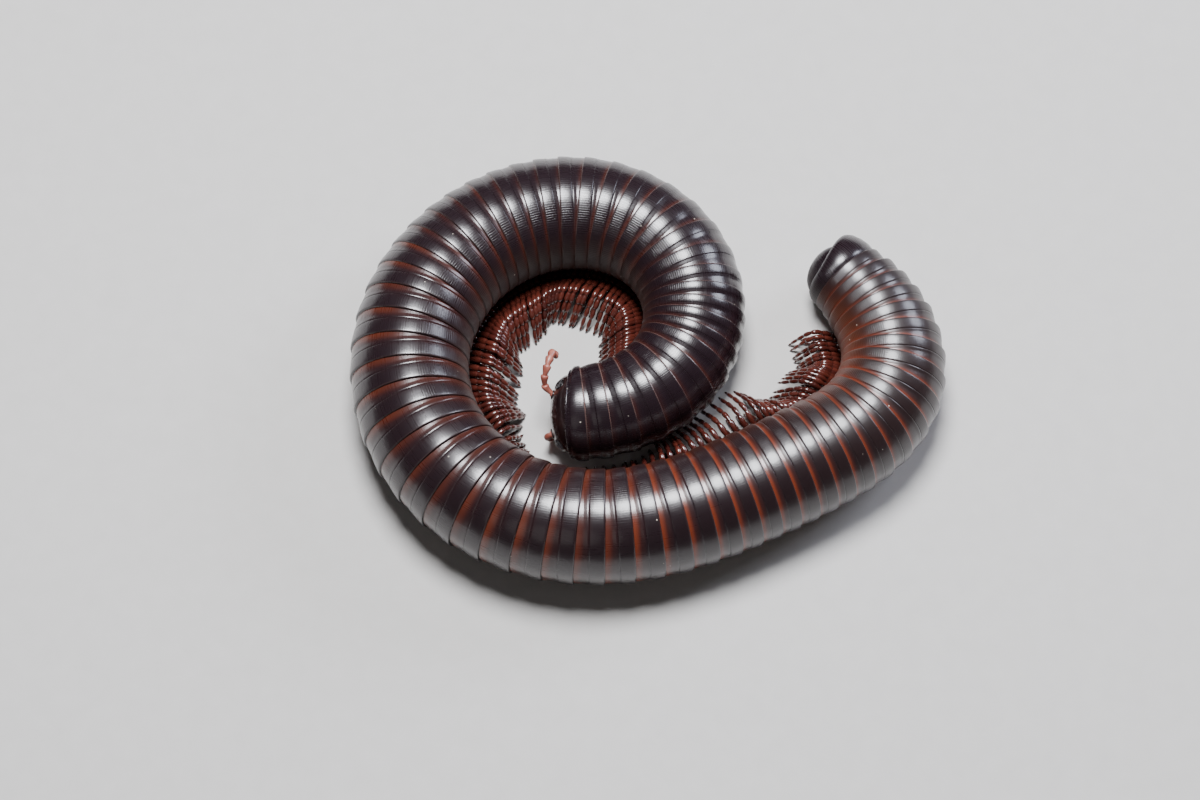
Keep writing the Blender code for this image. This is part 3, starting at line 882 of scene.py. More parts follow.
@dataclass
class Trunk:
    """The ringed body behind the collar: stiff rings that slide into one another in a bend.

    Rows and profile run from 0 at the hidden front of a ring's sleeve to 1 at its rear edge.
    """

    spine: Spine
    sides: int = 128
    shell_share: float = 0.99
    plate_share: float = 0.86
    sleeve: float = 2.6
    plate_start: float = 0.335
    no_band: float = 9.0
    rows: tuple[float, ...] = (
        0.0, 0.04, 0.10, 0.16, 0.22, 0.27, 0.31, 0.33, 0.345, 0.36, 0.39, 0.44, 0.485, 0.505, 0.52,
        0.54, 0.60, 0.68, 0.76, 0.84, 0.90, 0.94, 0.965, 0.98, 0.99, 1.0,
    )
    profile: Stops = (
        (0.0, 0.925), (0.10, 0.955), (0.22, 0.966), (0.31, 0.969), (0.33, 0.969), (0.345, 0.970),
        (0.36, 0.972), (0.485, 0.984), (0.505, 0.976), (0.52, 0.985), (0.60, 0.991), (0.68, 0.995),
        (0.84, 1.0), (0.94, 1.0), (0.965, 0.998), (0.98, 0.994), (0.99, 0.986), (1.0, 0.958),
    )
    step_near_head: Stops = ((0, 0.6), (14, 0.6), (40, 0.2), (60, 0.0))
    glow: Stops = (
        (0, 0.05), (10, 0.22), (20, 0.20), (32, 0.06), (44, 0.20), (58, 0.10), (72, 0.32), (88, 0.50),
        (125, 0.56), (140, 0.75), (155, 0.95), (216, 0.9),
    )
    stripe: Stops = (
        (0, 0.40), (40, 0.45), (60, 0.40), (75, 0.65), (90, 1.15), (125, 1.25), (140, 0.95), (152, 0.62),
        (175, 0.46), (216, 0.42),
    )
    # Strength of the pale rim line along the body, partly painted highlight, strongest near the head.
    fringe_and_highlight: Stops = ((0, 0.75), (24, 0.65), (45, 0.30), (80, 0.10), (216, 0.10))
    inner_glow: Stops = ((0, 1.0), (60, 1.0), (85, 0.40), (128, 0.40), (148, 0.9), (160, 1.0))
    warmth: Stops = (
        (0, 0.0), (80, 0.10), (110, 0.20), (145, 0.25), (162, 0.45), (180, 0.9), (190, 1.0), (205, 0.7),
        (216, 0.4),
    )
    outer_side: Range = (-0.6, 0.3)
    fringe_and_highlight_side: Range = (-0.5, 0.6)
    fringe_and_highlight_share: Range = (1.0, 0.1)

    def plate(self, ring: int) -> tuple[float, float]:
        """Places the stiff plate of a ring.

        Args:
            ring: Number of the ring, from the collar.

        Returns:
            The place of the plate's middle, and the plate's length.
        """
        start, end = self.spine.edges[ring : ring + 2]
        length = (end - start) * self.plate_share
        return end - length / 2, length

    def bare(self, points: np.ndarray, ring: np.ndarray) -> np.ndarray:
        """Tells how far points lie behind the rear edge of the ring in front of theirs.

        Args:
            points: Points in millimetres.
            ring: The ring that each belongs to.

        Returns:
            The distances in millimetres, below zero where the ring in front covers the point.
        """
        fronts = []
        directions = []
        for number in range(self.spine.ring_count + 1):
            middle, length = self.plate(number - 1) if number else (self.spine.collar_length, 0.0)
            axis, along, _ = self.spine.axis(middle)
            fronts.append(axis[0] + along[0] * length / 2)
            directions.append(along[0])
        away = points - np.array(fronts)[ring]
        return (away * np.array(directions)[ring]).sum(1)

    def ring_path(self, ring: int) -> Path:
        """Gives the straight path of one ring.

        Args:
            ring: Number of the ring, from the collar.

        Returns:
            The path, from the hidden front of its sleeve to its rear edge.
        """
        middle, plate = self.plate(ring)
        radius = float(stop_value(self.spine.radius, middle + plate / 2))
        rows = np.array(self.rows)
        sleeve = (rows / self.plate_start - 1.0) * self.sleeve
        horn = (rows - self.plate_start) / (1.0 - self.plate_start) * plate
        offset = np.where(rows < self.plate_start, sleeve, horn) - plate / 2
        axis, along, _ = self.spine.axis(middle)
        points = axis + along * offset[:, None]
        joined = axis - along * plate / 2 - self.spine.axis(middle - plate / 2)[0]
        bent = self.spine.axis(middle + offset)[0] + joined
        points = np.where(rows[:, None] < self.plate_start, bent, points)
        points[:, 2] = self.spine.height(radius)
        deepened = (1.0 - stop_value(self.profile, rows)) * float(stop_value(self.step_near_head, middle))
        size = radius * self.shell_share * (1.0 - deepened)
        phase = ring + np.minimum(rows, BEFORE_NEXT_RING)
        return Path(points, size, phase, {"place": middle + offset})

    def add_bearings(self, obj: Object, head_roll: float | None = None, banded: bool = True) -> None:
        """Adds the attributes that tell a material where on the body a point lies.

        Args:
            obj: A piece with the attributes phase and place.
            head_roll: Roll of the piece in degrees, or None for the body's own.
            banded: Whether the piece has a coloured band behind the ring in front of it.
        """
        count = len(obj.data.vertices)
        points = np.empty(count * 3, np.float32)
        obj.data.vertices.foreach_get("co", points)
        points = points.reshape(-1, 3) / MM
        s = get_attribute(obj, "place")
        ring = np.floor(get_attribute(obj, "phase")).astype(int)
        axis, _, inward = self.spine.axis(s)
        away = points - axis
        angle = np.arctan2((away * inward).sum(1), -away[:, 2])
        roll = np.radians(stop_value(self.spine.roll, s) if head_roll is None else head_roll)
        from_back = angle - roll - math.pi
        bare = self.bare(points, ring) if banded else np.full(count, self.no_band)
        set_attribute(obj, "up", np.cos(from_back))
        set_attribute(obj, "side", np.sin(from_back))
        inner = stop_value(self.inner_glow, s)
        outward = np.interp(np.sin(from_back), self.outer_side, (0.0, 1.0))
        set_attribute(obj, "glow", stop_value(self.glow, s) * (inner + (1.0 - inner) * outward))
        # The pale rim line, partly painted highlight, fades from the upper side towards the outer flank.
        fading = np.interp(np.sin(from_back), self.fringe_and_highlight_side, self.fringe_and_highlight_share)
        set_attribute(obj, "fringe_and_highlight", stop_value(self.fringe_and_highlight, s) * fading)
        set_attribute(obj, "warmth", stop_value(self.warmth, s) * banded)
        set_attribute(obj, "bare", bare / stop_value(self.stripe, s))

    def build(self, finish: Material) -> None:
        """Makes every length of the trunk.

        Args:
            finish: Material of the shell.
        """
        sweep = Sweep("ring_sweep", self.profile, self.sides, on_floor=True, level=True)
        tree = sweep.tree()
        firsts = range(0, self.spine.ring_count, self.spine.rings_a_length)
        for number, first in enumerate(firsts, start=1):
            last = min(first + self.spine.rings_a_length, self.spine.ring_count)
            paths = [self.ring_path(ring) for ring in range(first, last)]
            obj = sweep.make(f"rings_{number:02d}", paths, finish, tree)
            self.add_bearings(obj)
            dress(obj, Slot.SHELL, f"trunk_{number:02d}")


def smooth_path(points: list[Vector], count: int) -> list[Vector]:
    """Gives a smooth path through points.

    Args:
        points: The points to pass through.
        count: How many steps the path has.

    Returns:
        The path's points, one more than the steps.
    """
    closed = [2 * points[0] - points[1], *points, 2 * points[-1] - points[-2]]
    path = []
    for i in range(count + 1):
        place = i / count * (len(points) - 1)
        k = min(int(place), len(points) - 2)
        t = place - k
        a, b, c, d = closed[k : k + 4]
        bend = 2 * a - 5 * b + 4 * c - d
        path.append((2 * b + (c - a) * t + bend * t**2 + (3 * b - a - 3 * c + d) * t**3) / 2)
    return path


def jointed_path(
    points: list[Vector], joints: tuple[float, ...], shares: tuple[float, ...]
) -> tuple[np.ndarray, np.ndarray]:
    """Spreads a path's points so that every joint gets the same stations.

    Args:
        points: A smooth path.
        joints: Length of each joint as a share of the whole.
        shares: Stations within a joint, from 0 to 1.

    Returns:
        The points and their places counted in joints.
    """
    array = np.array([tuple(point) for point in points])
    lengths = np.concatenate([[0.0], np.cumsum(np.linalg.norm(np.diff(array, axis=0), axis=1))])
    starts = np.concatenate([[0.0], np.cumsum(joints)]) / sum(joints)
    phases = [number + share for number in range(len(joints)) for share in shares]
    places = np.interp(phases, range(len(joints) + 1), starts) * lengths[-1]
    spread = np.stack([np.interp(places, lengths, array[:, axis]) for axis in range(3)], 1)
    return spread, np.array(phases)


@dataclass
class Legs:
    """The legs, two pairs on a ring but for the first three, in a slow wave."""

    spine: Spine
    single_pair_rings: int = 3
    legless_last_rings: int = 2
    sides: int = 8
    spread_deg: float = 8.0
    thickness: float = 0.060
    root_depth: float = 0.80
    knee_rise: float = 2.0
    outer_spread: float = 0.62
    reach: Stops = ((0, 0.2), (8, 1.0), (16, 5.0), (24, 6.3), (150, 6.5), (165, 8.0), (190, 6.5), (216, 3.0))
    rake: Stops = ((0, -20), (15, -50), (60, 25), (120, 0), (160, 0), (178, -30), (202, 25), (216, 5))
    lift: Stops = ((0, 0.0), (150, 0.0), (165, 3.0), (185, 2.0), (200, 0.0))
    legs_in_a_wave: int = 14
    wave_rake_deg: float = 7.0
    wave_reach: float = 0.5
    rake_chance_deg: float = 2.0
    lift_lead: float = 0.8
    hip_out: float = 0.9
    hip_height: float = 1.1
    tip_height: float = 0.05
    outer_knee_rise: float = 0.1
    knee_lift: float = 0.7
    least_share: float = 0.3
    share_step: float = 0.05
    steps: int = 24
    before_tip: float = 0.01
    clearance: float = 0.6
    own_length: float = 30.0
    antenna_room: float = 1.3
    antenna_room_length: float = 8.0
    seed: int = 11
    joints: tuple[float, ...] = (0.17, 0.10, 0.17, 0.15, 0.12, 0.13, 0.13, 0.06)
    stations: tuple[float, ...] = (0.0, 0.14, 0.45, 0.75, 0.92)
    profile: Stops = ((0.0, 0.60), (0.14, 0.80), (0.45, 1.0), (0.75, 1.0), (0.92, 0.82), (1.0, 0.60))
    taper: Stops = ((0, 1.0), (2, 1.0), (5, 0.80), (7, 0.56), (7.5, 0.34), (8, 0.05))
    ring_shares: tuple[float, float] = (0.27, 0.73)

    def clear(self, point: Vector, s: float) -> bool:
        """Tells whether a point keeps clear of the rest of the body.

        Args:
            point: The point in millimetres.
            s: Place along the body that the leg grows from.

        Returns:
            Whether the point is clear of every length of the body but the leg's own.
        """
        spine = self.spine
        away = np.abs(spine.s - s) > self.own_length
        radius = stop_value(spine.radius, spine.s[away])
        room = radius + self.clearance + self.antenna_room * (spine.s[away] < self.antenna_room_length)
        gap = np.hypot(spine.x[away] - point.x, spine.y[away] - point.y)
        return bool((np.hypot(gap, radius - point.z) > room).all())

    def stations_of(self, s: float, outer: bool, phase: float, chance: random.Random) -> list[Vector]:
        """Gives the stations of one leg.

        Args:
            s: Place along the body.
            outer: Whether the leg belongs to the outer side and so passes under the belly.
            phase: Place in the wave, in radians.
            chance: Source of small differences.

        Returns:
            Root inside the body, hip, knee and tip.
        """
        radius = float(stop_value(self.spine.radius, s))
        spread = -self.spread_deg if outer else self.spread_deg
        angle = math.radians(float(stop_value(self.spine.roll, s)) + spread)
        wave = self.wave_rake_deg * math.sin(phase)
        slant = chance.uniform(-self.rake_chance_deg, self.rake_chance_deg)
        rake = math.radians(float(stop_value(self.rake, s)) + wave + slant)
        reach = float(stop_value(self.reach, s)) + self.wave_reach * math.cos(phase)
        lift = float(stop_value(self.lift, s)) * max(0.0, math.sin(phase + self.lift_lead))
        thickness = self.thickness * radius
        _, along, inward = (Vector(item[0]) for item in self.spine.axis(s))
        root = self.spine.on_section(s, angle, radius * self.root_depth)
        hip = self.spine.on_section(s, angle, radius + thickness * self.hip_out) + inward * thickness
        hip.z = max(hip.z, thickness * self.hip_height)
        direction = inward * math.cos(rake) + along * math.sin(rake)
        flank = radius * (1.0 - math.sin(angle))
        share = 1.0
        while True:
            out = (flank + reach * (self.outer_spread if outer else 1.0)) * share
            knee = hip + direction * (out / 2)
            tip = hip + direction * out
            rise = self.outer_knee_rise if outer else self.knee_rise
            knee.z = hip.z + rise * share + lift * self.knee_lift
            tip.z = self.tip_height + (0.0 if outer else lift)
            if share < self.least_share or all(self.clear(p, s) for p in (knee, (knee + tip) / 2, tip)):
                return [root, hip, knee, tip]
            share -= self.share_step

    def leg(self, s: float, outer: bool, phase: float, chance: random.Random) -> Path:
        """Gives the path of one jointed leg.

        Args:
            s: Place along the body.
            outer: Whether the leg belongs to the outer side.
            phase: Place in the wave, in radians.
            chance: Source of small differences.

        Returns:
            The path, with the leg's own tone.
        """
        stations = self.stations_of(s, outer, phase, chance)
        points, phases = jointed_path(smooth_path(stations, self.steps), self.joints, self.stations)
        end = np.array([tuple(stations[-1])])
        points = np.concatenate([points, end])
        phases = np.concatenate([phases, [len(self.joints) - self.before_tip]])
        size = self.thickness * float(stop_value(self.spine.radius, s)) * stop_value(self.taper, phases)
        tone = np.full(len(phases), chance.random())
        return Path(points, size, phases, {"tone": tone})

    def build(self, finish: Material) -> None:
        """Makes the legs of every length of the trunk.

        Args:
            finish: Material of the legs.
        """
        sweep = Sweep("leg_sweep", self.profile, self.sides)
        tree = sweep.tree()
        chance = random.Random(self.seed)
        edges = self.spine.edges
        number_of_leg = 0
        for number, first in enumerate(range(0, self.spine.ring_count, self.spine.rings_a_length), start=1):
            paths = []
            last = min(first + self.spine.rings_a_length, self.spine.ring_count - self.legless_last_rings)
            for ring in range(first, last):
                shares = (0.5,) if ring < self.single_pair_rings else self.ring_shares
                for share in shares:
                    s = edges[ring] + (edges[ring + 1] - edges[ring]) * share
                    phase = number_of_leg * math.tau / self.legs_in_a_wave
                    number_of_leg += 1
                    paths += [self.leg(s, outer, phase, chance) for outer in (False, True)]
            if paths:
                obj = sweep.make(f"legs_{number:02d}", paths, finish, tree)
                dress(obj, Slot.LEGS, f"trunk_{number:02d}")


def loft(name: str, rows: list[list[Vector]], finish: Material) -> Object:
    """Makes a closed piece through rows of points in millimetres.

    Args:
        name: Name of the object.
        rows: Rows of equally many points, which are kept above the floor.
        finish: Material of the piece.

    Returns:
        The new object.
    """
    bm = bmesh.new()
    rings = [[bm.verts.new((p.x * MM, p.y * MM, max(p.z, 0.0) * MM)) for p in row] for row in rows]
    count = len(rings[0])
    for first, second in zip(rings, rings[1:]):
        for j in range(count):
            k = (j + 1) % count
            bm.faces.new((first[j], first[k], second[k], second[j]))
    bm.faces.new(rings[0])
    bm.faces.new(rings[-1])
    bmesh.ops.recalc_face_normals(bm, faces=bm.faces)
    return from_bmesh(name, bm, finish)


def from_bmesh(name: str, bm: bmesh.types.BMesh, finish: Material | None = None) -> Object:
    """Makes an object from a bmesh and frees the bmesh.

    Args:
        name: Name of the object.
        bm: A closed bmesh, in metres.
        finish: Material of the piece, or None.

    Returns:
        The new object.
    """
    mesh = bpy.data.meshes.new(name)
    bm.to_mesh(mesh)
    bm.free()
    if finish:
        mesh.materials.append(finish)
    face_outwards(mesh)
    return add_object(name, mesh)


@dataclass
class Collar:
    """The collar behind the head, a broad ring with a leaning, rimmed front edge."""

    spine: Spine
    trunk: Trunk
    sides: int = 128
    front: float = 1.2
    lean: float = 0.85
    front_phase: float = 0.40
    rear_phase: float = 0.995
    profile: tuple[tuple[float, float], ...] = (
        (0.30, 0.82), (0.06, 0.865), (-0.04, 0.885), (-0.06, 0.905), (-0.01, 0.922), (0.08, 0.930),
        (0.17, 0.926), (0.24, 0.916), (0.30, 0.918), (0.42, 0.938), (0.58, 0.960), (0.75, 0.975),
    )
    rear: tuple[tuple[float, float], ...] = (
        (0.60, 0.988), (0.78, 0.998), (0.90, 1.0), (0.955, 0.998), (0.985, 0.988), (1.0, 0.962),
    )

    def build(self, finish: Material) -> None:
        """Makes the collar.

        Args:
            finish: Material of the shell.
        """
        radius = float(stop_value(self.spine.radius, self.spine.collar_length))
        roll = math.radians(self.spine.head_roll_deg)
        angles = [(j + 0.5) * math.tau / self.sides for j in range(self.sides)]
        rows, phases = [], []
        for extra, share in self.profile:
            row = []
            for angle in angles:
                s = self.front - self.lean * math.cos(angle - roll - math.pi) + extra
                row.append(self.spine.on_section(s, angle, radius * share * self.trunk.shell_share, radius))
            rows.append(row)
            phases.append(self.front_phase)
        for place, share in self.rear:
            s = self.spine.collar_length * place
            size = radius * share * self.trunk.shell_share
            rows.append([self.spine.on_section(s, angle, size, radius) for angle in angles])
            phases.append(self.front_phase + (self.rear_phase - self.front_phase) * place)
        obj = loft("collar_shield", rows, finish)
        set_attribute(obj, "phase", np.repeat(phases, self.sides))
        places = np.linspace(0.0, self.spine.collar_length, len(rows))
        set_attribute(obj, "place", np.repeat(places, self.sides))
        self.trunk.add_bearings(obj, self.spine.head_roll_deg, banded=False)
        dress(obj, Slot.SHELL, "collum")


@dataclass
class Head:
    """The head capsule with its mouthparts, eyes and antennae.

    Places are forward, towards the back and right, from the middle of the collar's front.
    """

    spine: Spine
    half: Place = (2.7, 5.5, 5.8)
    middle: Place = (-0.7, -1.2, 0.0)
    segments: int = 96
    rings: int = 64
    gap: float = 0.3
    mouth_top: float = -2.0
    mouth_front: float = 0.7
    lip_half_width: float = 2.3
    beyond: float = 9.0
    soften: float = 0.22
    soften_deg: float = 40.0
    soften_steps: int = 3
    eye_half: Place = (0.26, 1.05, 0.95)
    eye_up: float = 1.0
    eye_out: float = 4.5
    eye_sunk: float = 0.10
    ocelli_rows: int = 8
    ocellus: float = 0.115
    ocellus_step: tuple[float, float] = (1.9, 1.65)
    ocelli_share: float = 0.8
    ocellus_seat: float = 0.97
    eye_steps: tuple[int, int] = (40, 24)
    antenna_thickness: float = 1.35
    antenna_joints: tuple[float, ...] = (0.06, 0.19, 0.17, 0.16, 0.15, 0.14, 0.09, 0.04)
    antenna_stations: tuple[float, ...] = (0.0, 0.08, 0.25, 0.5, 0.75, 0.9, 0.97)
    antenna_profile: Stops = (
        (0.0, 0.58), (0.08, 0.62), (0.25, 0.70), (0.5, 0.84), (0.75, 0.97), (0.9, 1.0), (0.97, 0.84),
        (1.0, 0.58),
    )
    antenna_size: Stops = ((0, 0.9), (1, 0.86), (3, 0.92), (5, 1.0), (6.5, 1.04), (7.2, 0.78), (8, 0.42))
    socket: tuple[float, float] = (-0.4, 2.9)
    right_path: tuple[Place, ...] = (
        (2.6, 0.0, 4.0), (2.8, 0.6, 5.3), (2.5, 0.9, 6.8), (2.05, 0.2, 8.3), (1.6, -0.9, 9.1),
        (1.0, -1.6, 8.4),
    )
    left_path: tuple[Place, ...] = (
        (2.25, -1.5, -3.4), (2.0, -2.9, -3.6), (1.65, -4.3, -3.4), (1.2, -5.6, -2.5), (0.7, -6.4, -1.1)
    )
    antenna_steps: int = 60
    antenna_sides: int = 20
    root_depth: float = 0.3
    suture_depth: float = 0.12
    suture_width: float = 0.16
    suture_end: float = -0.6
    suture_fade: float = 0.8
    socket_ring: tuple[float, float] = (0.62, 0.13)
    socket_steps: tuple[int, int] = (32, 12)

    def __post_init__(self) -> None:
        """Works out the head's own directions."""
        roll = math.radians(self.spine.head_roll_deg)
        origin, along, inward = (Vector(item[0]) for item in self.spine.axis(0.0))
        self.origin = origin
        self.forward = -along
        self.back = Vector((0.0, 0.0, math.cos(roll))) - inward * math.sin(roll)
        self.right = self.forward.cross(self.back)

    def point(self, place: Place | Vector) -> Vector:
        """Returns the point of a place in the head, in millimetres."""
        return self.origin + self.forward * place[0] + self.back * place[1] + self.right * place[2]

    def matrix(self, place: Place, size: Place) -> Matrix:
        """Gives the matrix in metres that puts a unit shape at a place.

        Args:
            place: Place in the head.
            size: Size of the shape forward, towards the back and to the right.

        Returns:
            The matrix.
        """
        turn = Matrix((self.forward, self.back, self.right)).transposed().to_4x4()
        whole = Matrix.Translation(self.point(place)) @ turn @ Matrix.Diagonal((*size, 1.0))
        return Matrix.Scale(MM, 4) @ whole

    def ball(self, name: str, place: Place, half: Place, segments: int, rings: int) -> Object:
        """Makes an ellipsoid.

        Args:
            name: Name of the object.
            place: Place in the head.
            half: Half of its size in each direction.
            segments: Steps around.
            rings: Steps from pole to pole.

        Returns:
            The new object.
        """
        bm = bmesh.new()
        bmesh.ops.create_uvsphere(bm, u_segments=segments, v_segments=rings, radius=1.0)
        bmesh.ops.transform(bm, matrix=self.matrix(place, half), verts=bm.verts)
        return from_bmesh(name, bm)

    def cutter(self, low: Place, high: Place) -> Object:
        """Makes a box between two corners.

        Args:
            low: Corner with the lower numbers, as a place in the head.
            high: The opposite corner.

        Returns:
            The new object.
        """
        bm = bmesh.new()
        bmesh.ops.create_cube(bm, size=1.0)
        middle = tuple((a + b) / 2 for a, b in zip(low, high))
        size = tuple(b - a for a, b in zip(low, high))
        bmesh.ops.transform(bm, matrix=self.matrix(middle, size), verts=bm.verts)
        return from_bmesh("cutter", bm)

    def boolean(self, obj: Object, operation: str, other: Object) -> Object:
        """Cuts a piece with another and removes the other.

        Args:
            obj: The piece.
            operation: DIFFERENCE or INTERSECT.
            other: The piece that cuts.

        Returns:
            The cut piece.
        """
        modifier = obj.modifiers.new("cut", "BOOLEAN")
        modifier.operation = operation
        modifier.object = other
        bpy.context.view_layer.update()
        made = plain_copy(obj, obj.name)
        remove_object(other)
        return made

    def soften_edges(self, obj: Object) -> Object:
        """Rounds a cut piece's sharp edges.

        Args:
            obj: The piece.

        Returns:
            The rounded piece.
        """
        modifier = obj.modifiers.new("rounding", "BEVEL")
        modifier.width = self.soften * MM
        modifier.segments = self.soften_steps
        modifier.limit_method = "ANGLE"
        modifier.angle_limit = math.radians(self.soften_deg)
        return plain_copy(obj, obj.name)

    def build(self, horn: Material, mouth: Material) -> None:
        """Makes the capsule and the mouthparts.

        Args:
            horn: Material of the capsule.
            mouth: Material of the mouthparts.
        """
        far = self.beyond
        jaw = self.lip_half_width + self.gap / 2
        lip = self.lip_half_width - self.gap / 2
        top = self.mouth_top + self.gap / 2
        front = self.mouth_front + self.gap / 2
        capsule = self.ball("head_capsule", self.middle, self.half, self.segments, self.rings)
        capsule = self.boolean(capsule, "DIFFERENCE", self.cutter((-far, -far, -far), (front, top, far)))
        capsule = self.soften_edges(capsule)
        self.carve_suture(capsule)
        self.finish_piece(capsule, horn, Slot.SHELL, "head")
        parts = (
            ("mandible_right", "jaw_right", jaw, far),
            ("mandible_left", "jaw_left", -far, -jaw),
            ("lip_plate", "lower_lip", -lip, lip),
        )
        for name, node, left, right in parts:
            piece = self.ball(name, self.middle, self.half, self.segments, self.rings)
            corners = ((-far, -far, left), (self.mouth_front, self.mouth_top, right))
            piece = self.boolean(piece, "INTERSECT", self.cutter(*corners))
            self.finish_piece(self.soften_edges(piece), mouth, Slot.MOUTH, node)

    def finish_piece(self, obj: Object, finish: Material, slot: Slot, node: str) -> None:
        """Gives a piece its material and fixes it to the body.

        Args:
            obj: The piece.
            finish: Its material.
            slot: The material slot that it stands for, passed on to dress().
            node: The solid node that it stands for.
        """
        obj.data.materials.clear()
        obj.data.materials.append(finish)
        dress(obj, slot, node)

    def carve_suture(self, obj: Object) -> None:
        """Presses the fine groove down the middle of the forehead.

        Args:
            obj: The capsule.
        """
        origin = self.origin * MM
        for vertex in obj.data.vertices:
            away = vertex.co - origin
            up = away.dot(self.back) / MM
            out = away.dot(self.right) / MM
            depth = self.suture_depth * math.exp(-((out / self.suture_width) ** 2))
            fade = min(max((up - self.suture_end) / self.suture_fade, 0.0), 1.0)
            vertex.co -= self.forward * (depth * fade * MM)

    def on_capsule(self, up: float, out: float) -> tuple[Vector, Vector, Vector, Vector]:
        """Gives a point of the capsule's front and the directions there, in the head's own frame.

        Args:
            up: Place towards the back.
            out: Place to the right.

        Returns:
            The place, the normal, and the directions along the surface towards the back and across.
        """
        high, wide = (up - self.middle[1]) / self.half[1], out / self.half[2]
        front = math.sqrt(1.0 - high**2 - wide**2)
        normal = Vector((front / self.half[0], high / self.half[1], wide / self.half[2])).normalized()
        place = Vector((self.middle[0] + front * self.half[0], up, out))
        tall = (Vector((0.0, 1.0, 0.0)) - normal * normal.y).normalized()
        return place, normal, tall, normal.cross(tall)

    def build_eyes(self, finish: Material) -> None:
        """Makes each eye as rows of small domes on a low mound.

        Args:
            finish: Material of the eyes.
        """
        for name, side in (("eye_right", 1), ("eye_left", -1)):
            place, normal, tall, wide = self.on_capsule(self.eye_up, side * self.eye_out)
            turn = Matrix((self.forward, self.back, self.right)).transposed()
            turn = turn @ Matrix((normal, tall, wide)).transposed()
            seat = Matrix.Translation(self.point(place - normal * self.eye_sunk)) @ turn.to_4x4()
            seat = Matrix.Scale(MM, 4) @ seat @ Matrix.Diagonal((*self.eye_half, 1.0))
            bm = bmesh.new()
            around, through = self.eye_steps
            bmesh.ops.create_uvsphere(bm, u_segments=around, v_segments=through, radius=1.0)
            size = Matrix.Diagonal((*(self.ocellus / half for half in self.eye_half), 1.0))
            column_step, row_step = (self.ocellus * step for step in self.ocellus_step)
            numbers = range(-self.ocelli_rows // 2, self.ocelli_rows // 2 + 1)
            for row in numbers:
                for column in numbers:
                    up = (column + 0.5 * (row % 2)) * column_step / self.eye_half[1]
                    out = row * row_step / self.eye_half[2]
                    if up * up + out * out > self.ocelli_share:
                        continue
                    front = math.sqrt(1.0 - up * up - out * out)
                    dome = Matrix.Translation((front * self.ocellus_seat, up, out)) @ size
                    bmesh.ops.create_icosphere(bm, subdivisions=2, radius=1.0, matrix=dome)
            bmesh.ops.transform(bm, matrix=seat, verts=bm.verts)
            dress(from_bmesh(f"ocelli_{name[4:]}", bm, finish), Slot.EYE, name)

    def antenna_points(self, side: int, path: tuple[Place, ...]) -> list[Vector]:
        """Gives the points that one antenna passes through.

        Args:
            side: 1 on the right, -1 on the left.
            path: Its places after the root.

        Returns:
            The points in millimetres.
        """
        base, normal, _, _ = self.on_capsule(self.socket[0], side * self.socket[1])
        return [self.point(base - normal * self.root_depth), *(self.point(place) for place in path)]

    def build_sockets(self, finish: Material) -> None:
        """Makes the raised rim round the root of each antenna.

        Args:
            finish: Material of the rims.
        """
        wide_radius, thin_radius = self.socket_ring
        around, through = self.socket_steps
        for name, side in (("socket_right", 1), ("socket_left", -1)):
            base, normal, tall, wide = self.on_capsule(self.socket[0], side * self.socket[1])
            bm = bmesh.new()
            rings = []
            for j in range(around):
                angle = j / around * math.tau
                spoke = tall * math.cos(angle) + wide * math.sin(angle)
                ring = []
                for k in range(through):
                    turn = k / through * math.tau
                    place = base + spoke * (wide_radius + thin_radius * math.cos(turn))
                    place += normal * thin_radius * math.sin(turn)
                    ring.append(bm.verts.new(self.point(place) * MM))
                rings.append(ring)
            for j in range(around):
                for k in range(through):
                    first, second = rings[j], rings[(j + 1) % around]
                    after = (k + 1) % through
                    bm.faces.new((first[k], first[after], second[after], second[k]))
            bmesh.ops.recalc_face_normals(bm, faces=bm.faces)
            dress(from_bmesh(name, bm, finish), Slot.SHELL)

    def build_antennae(self, finish: Material) -> None:
        """Makes both antennae.

        Args:
            finish: Material of the antennae.
        """
        sweep = Sweep("antenna_sweep", self.antenna_profile, self.antenna_sides)
        tree = sweep.tree()
        for name, side, path in (("antenna_right", 1, self.right_path), ("antenna_left", -1, self.left_path)):
            smooth = smooth_path(self.antenna_points(side, path), self.antenna_steps)
            points, phases = jointed_path(smooth, self.antenna_joints, self.antenna_stations)
            size = self.antenna_thickness / 2 * stop_value(self.antenna_size, phases)
            piece = sweep.make(f"feeler_{name[8:]}", [Path(points, size, phases)], finish, tree)
            dress(piece, Slot.ANTENNA, name)


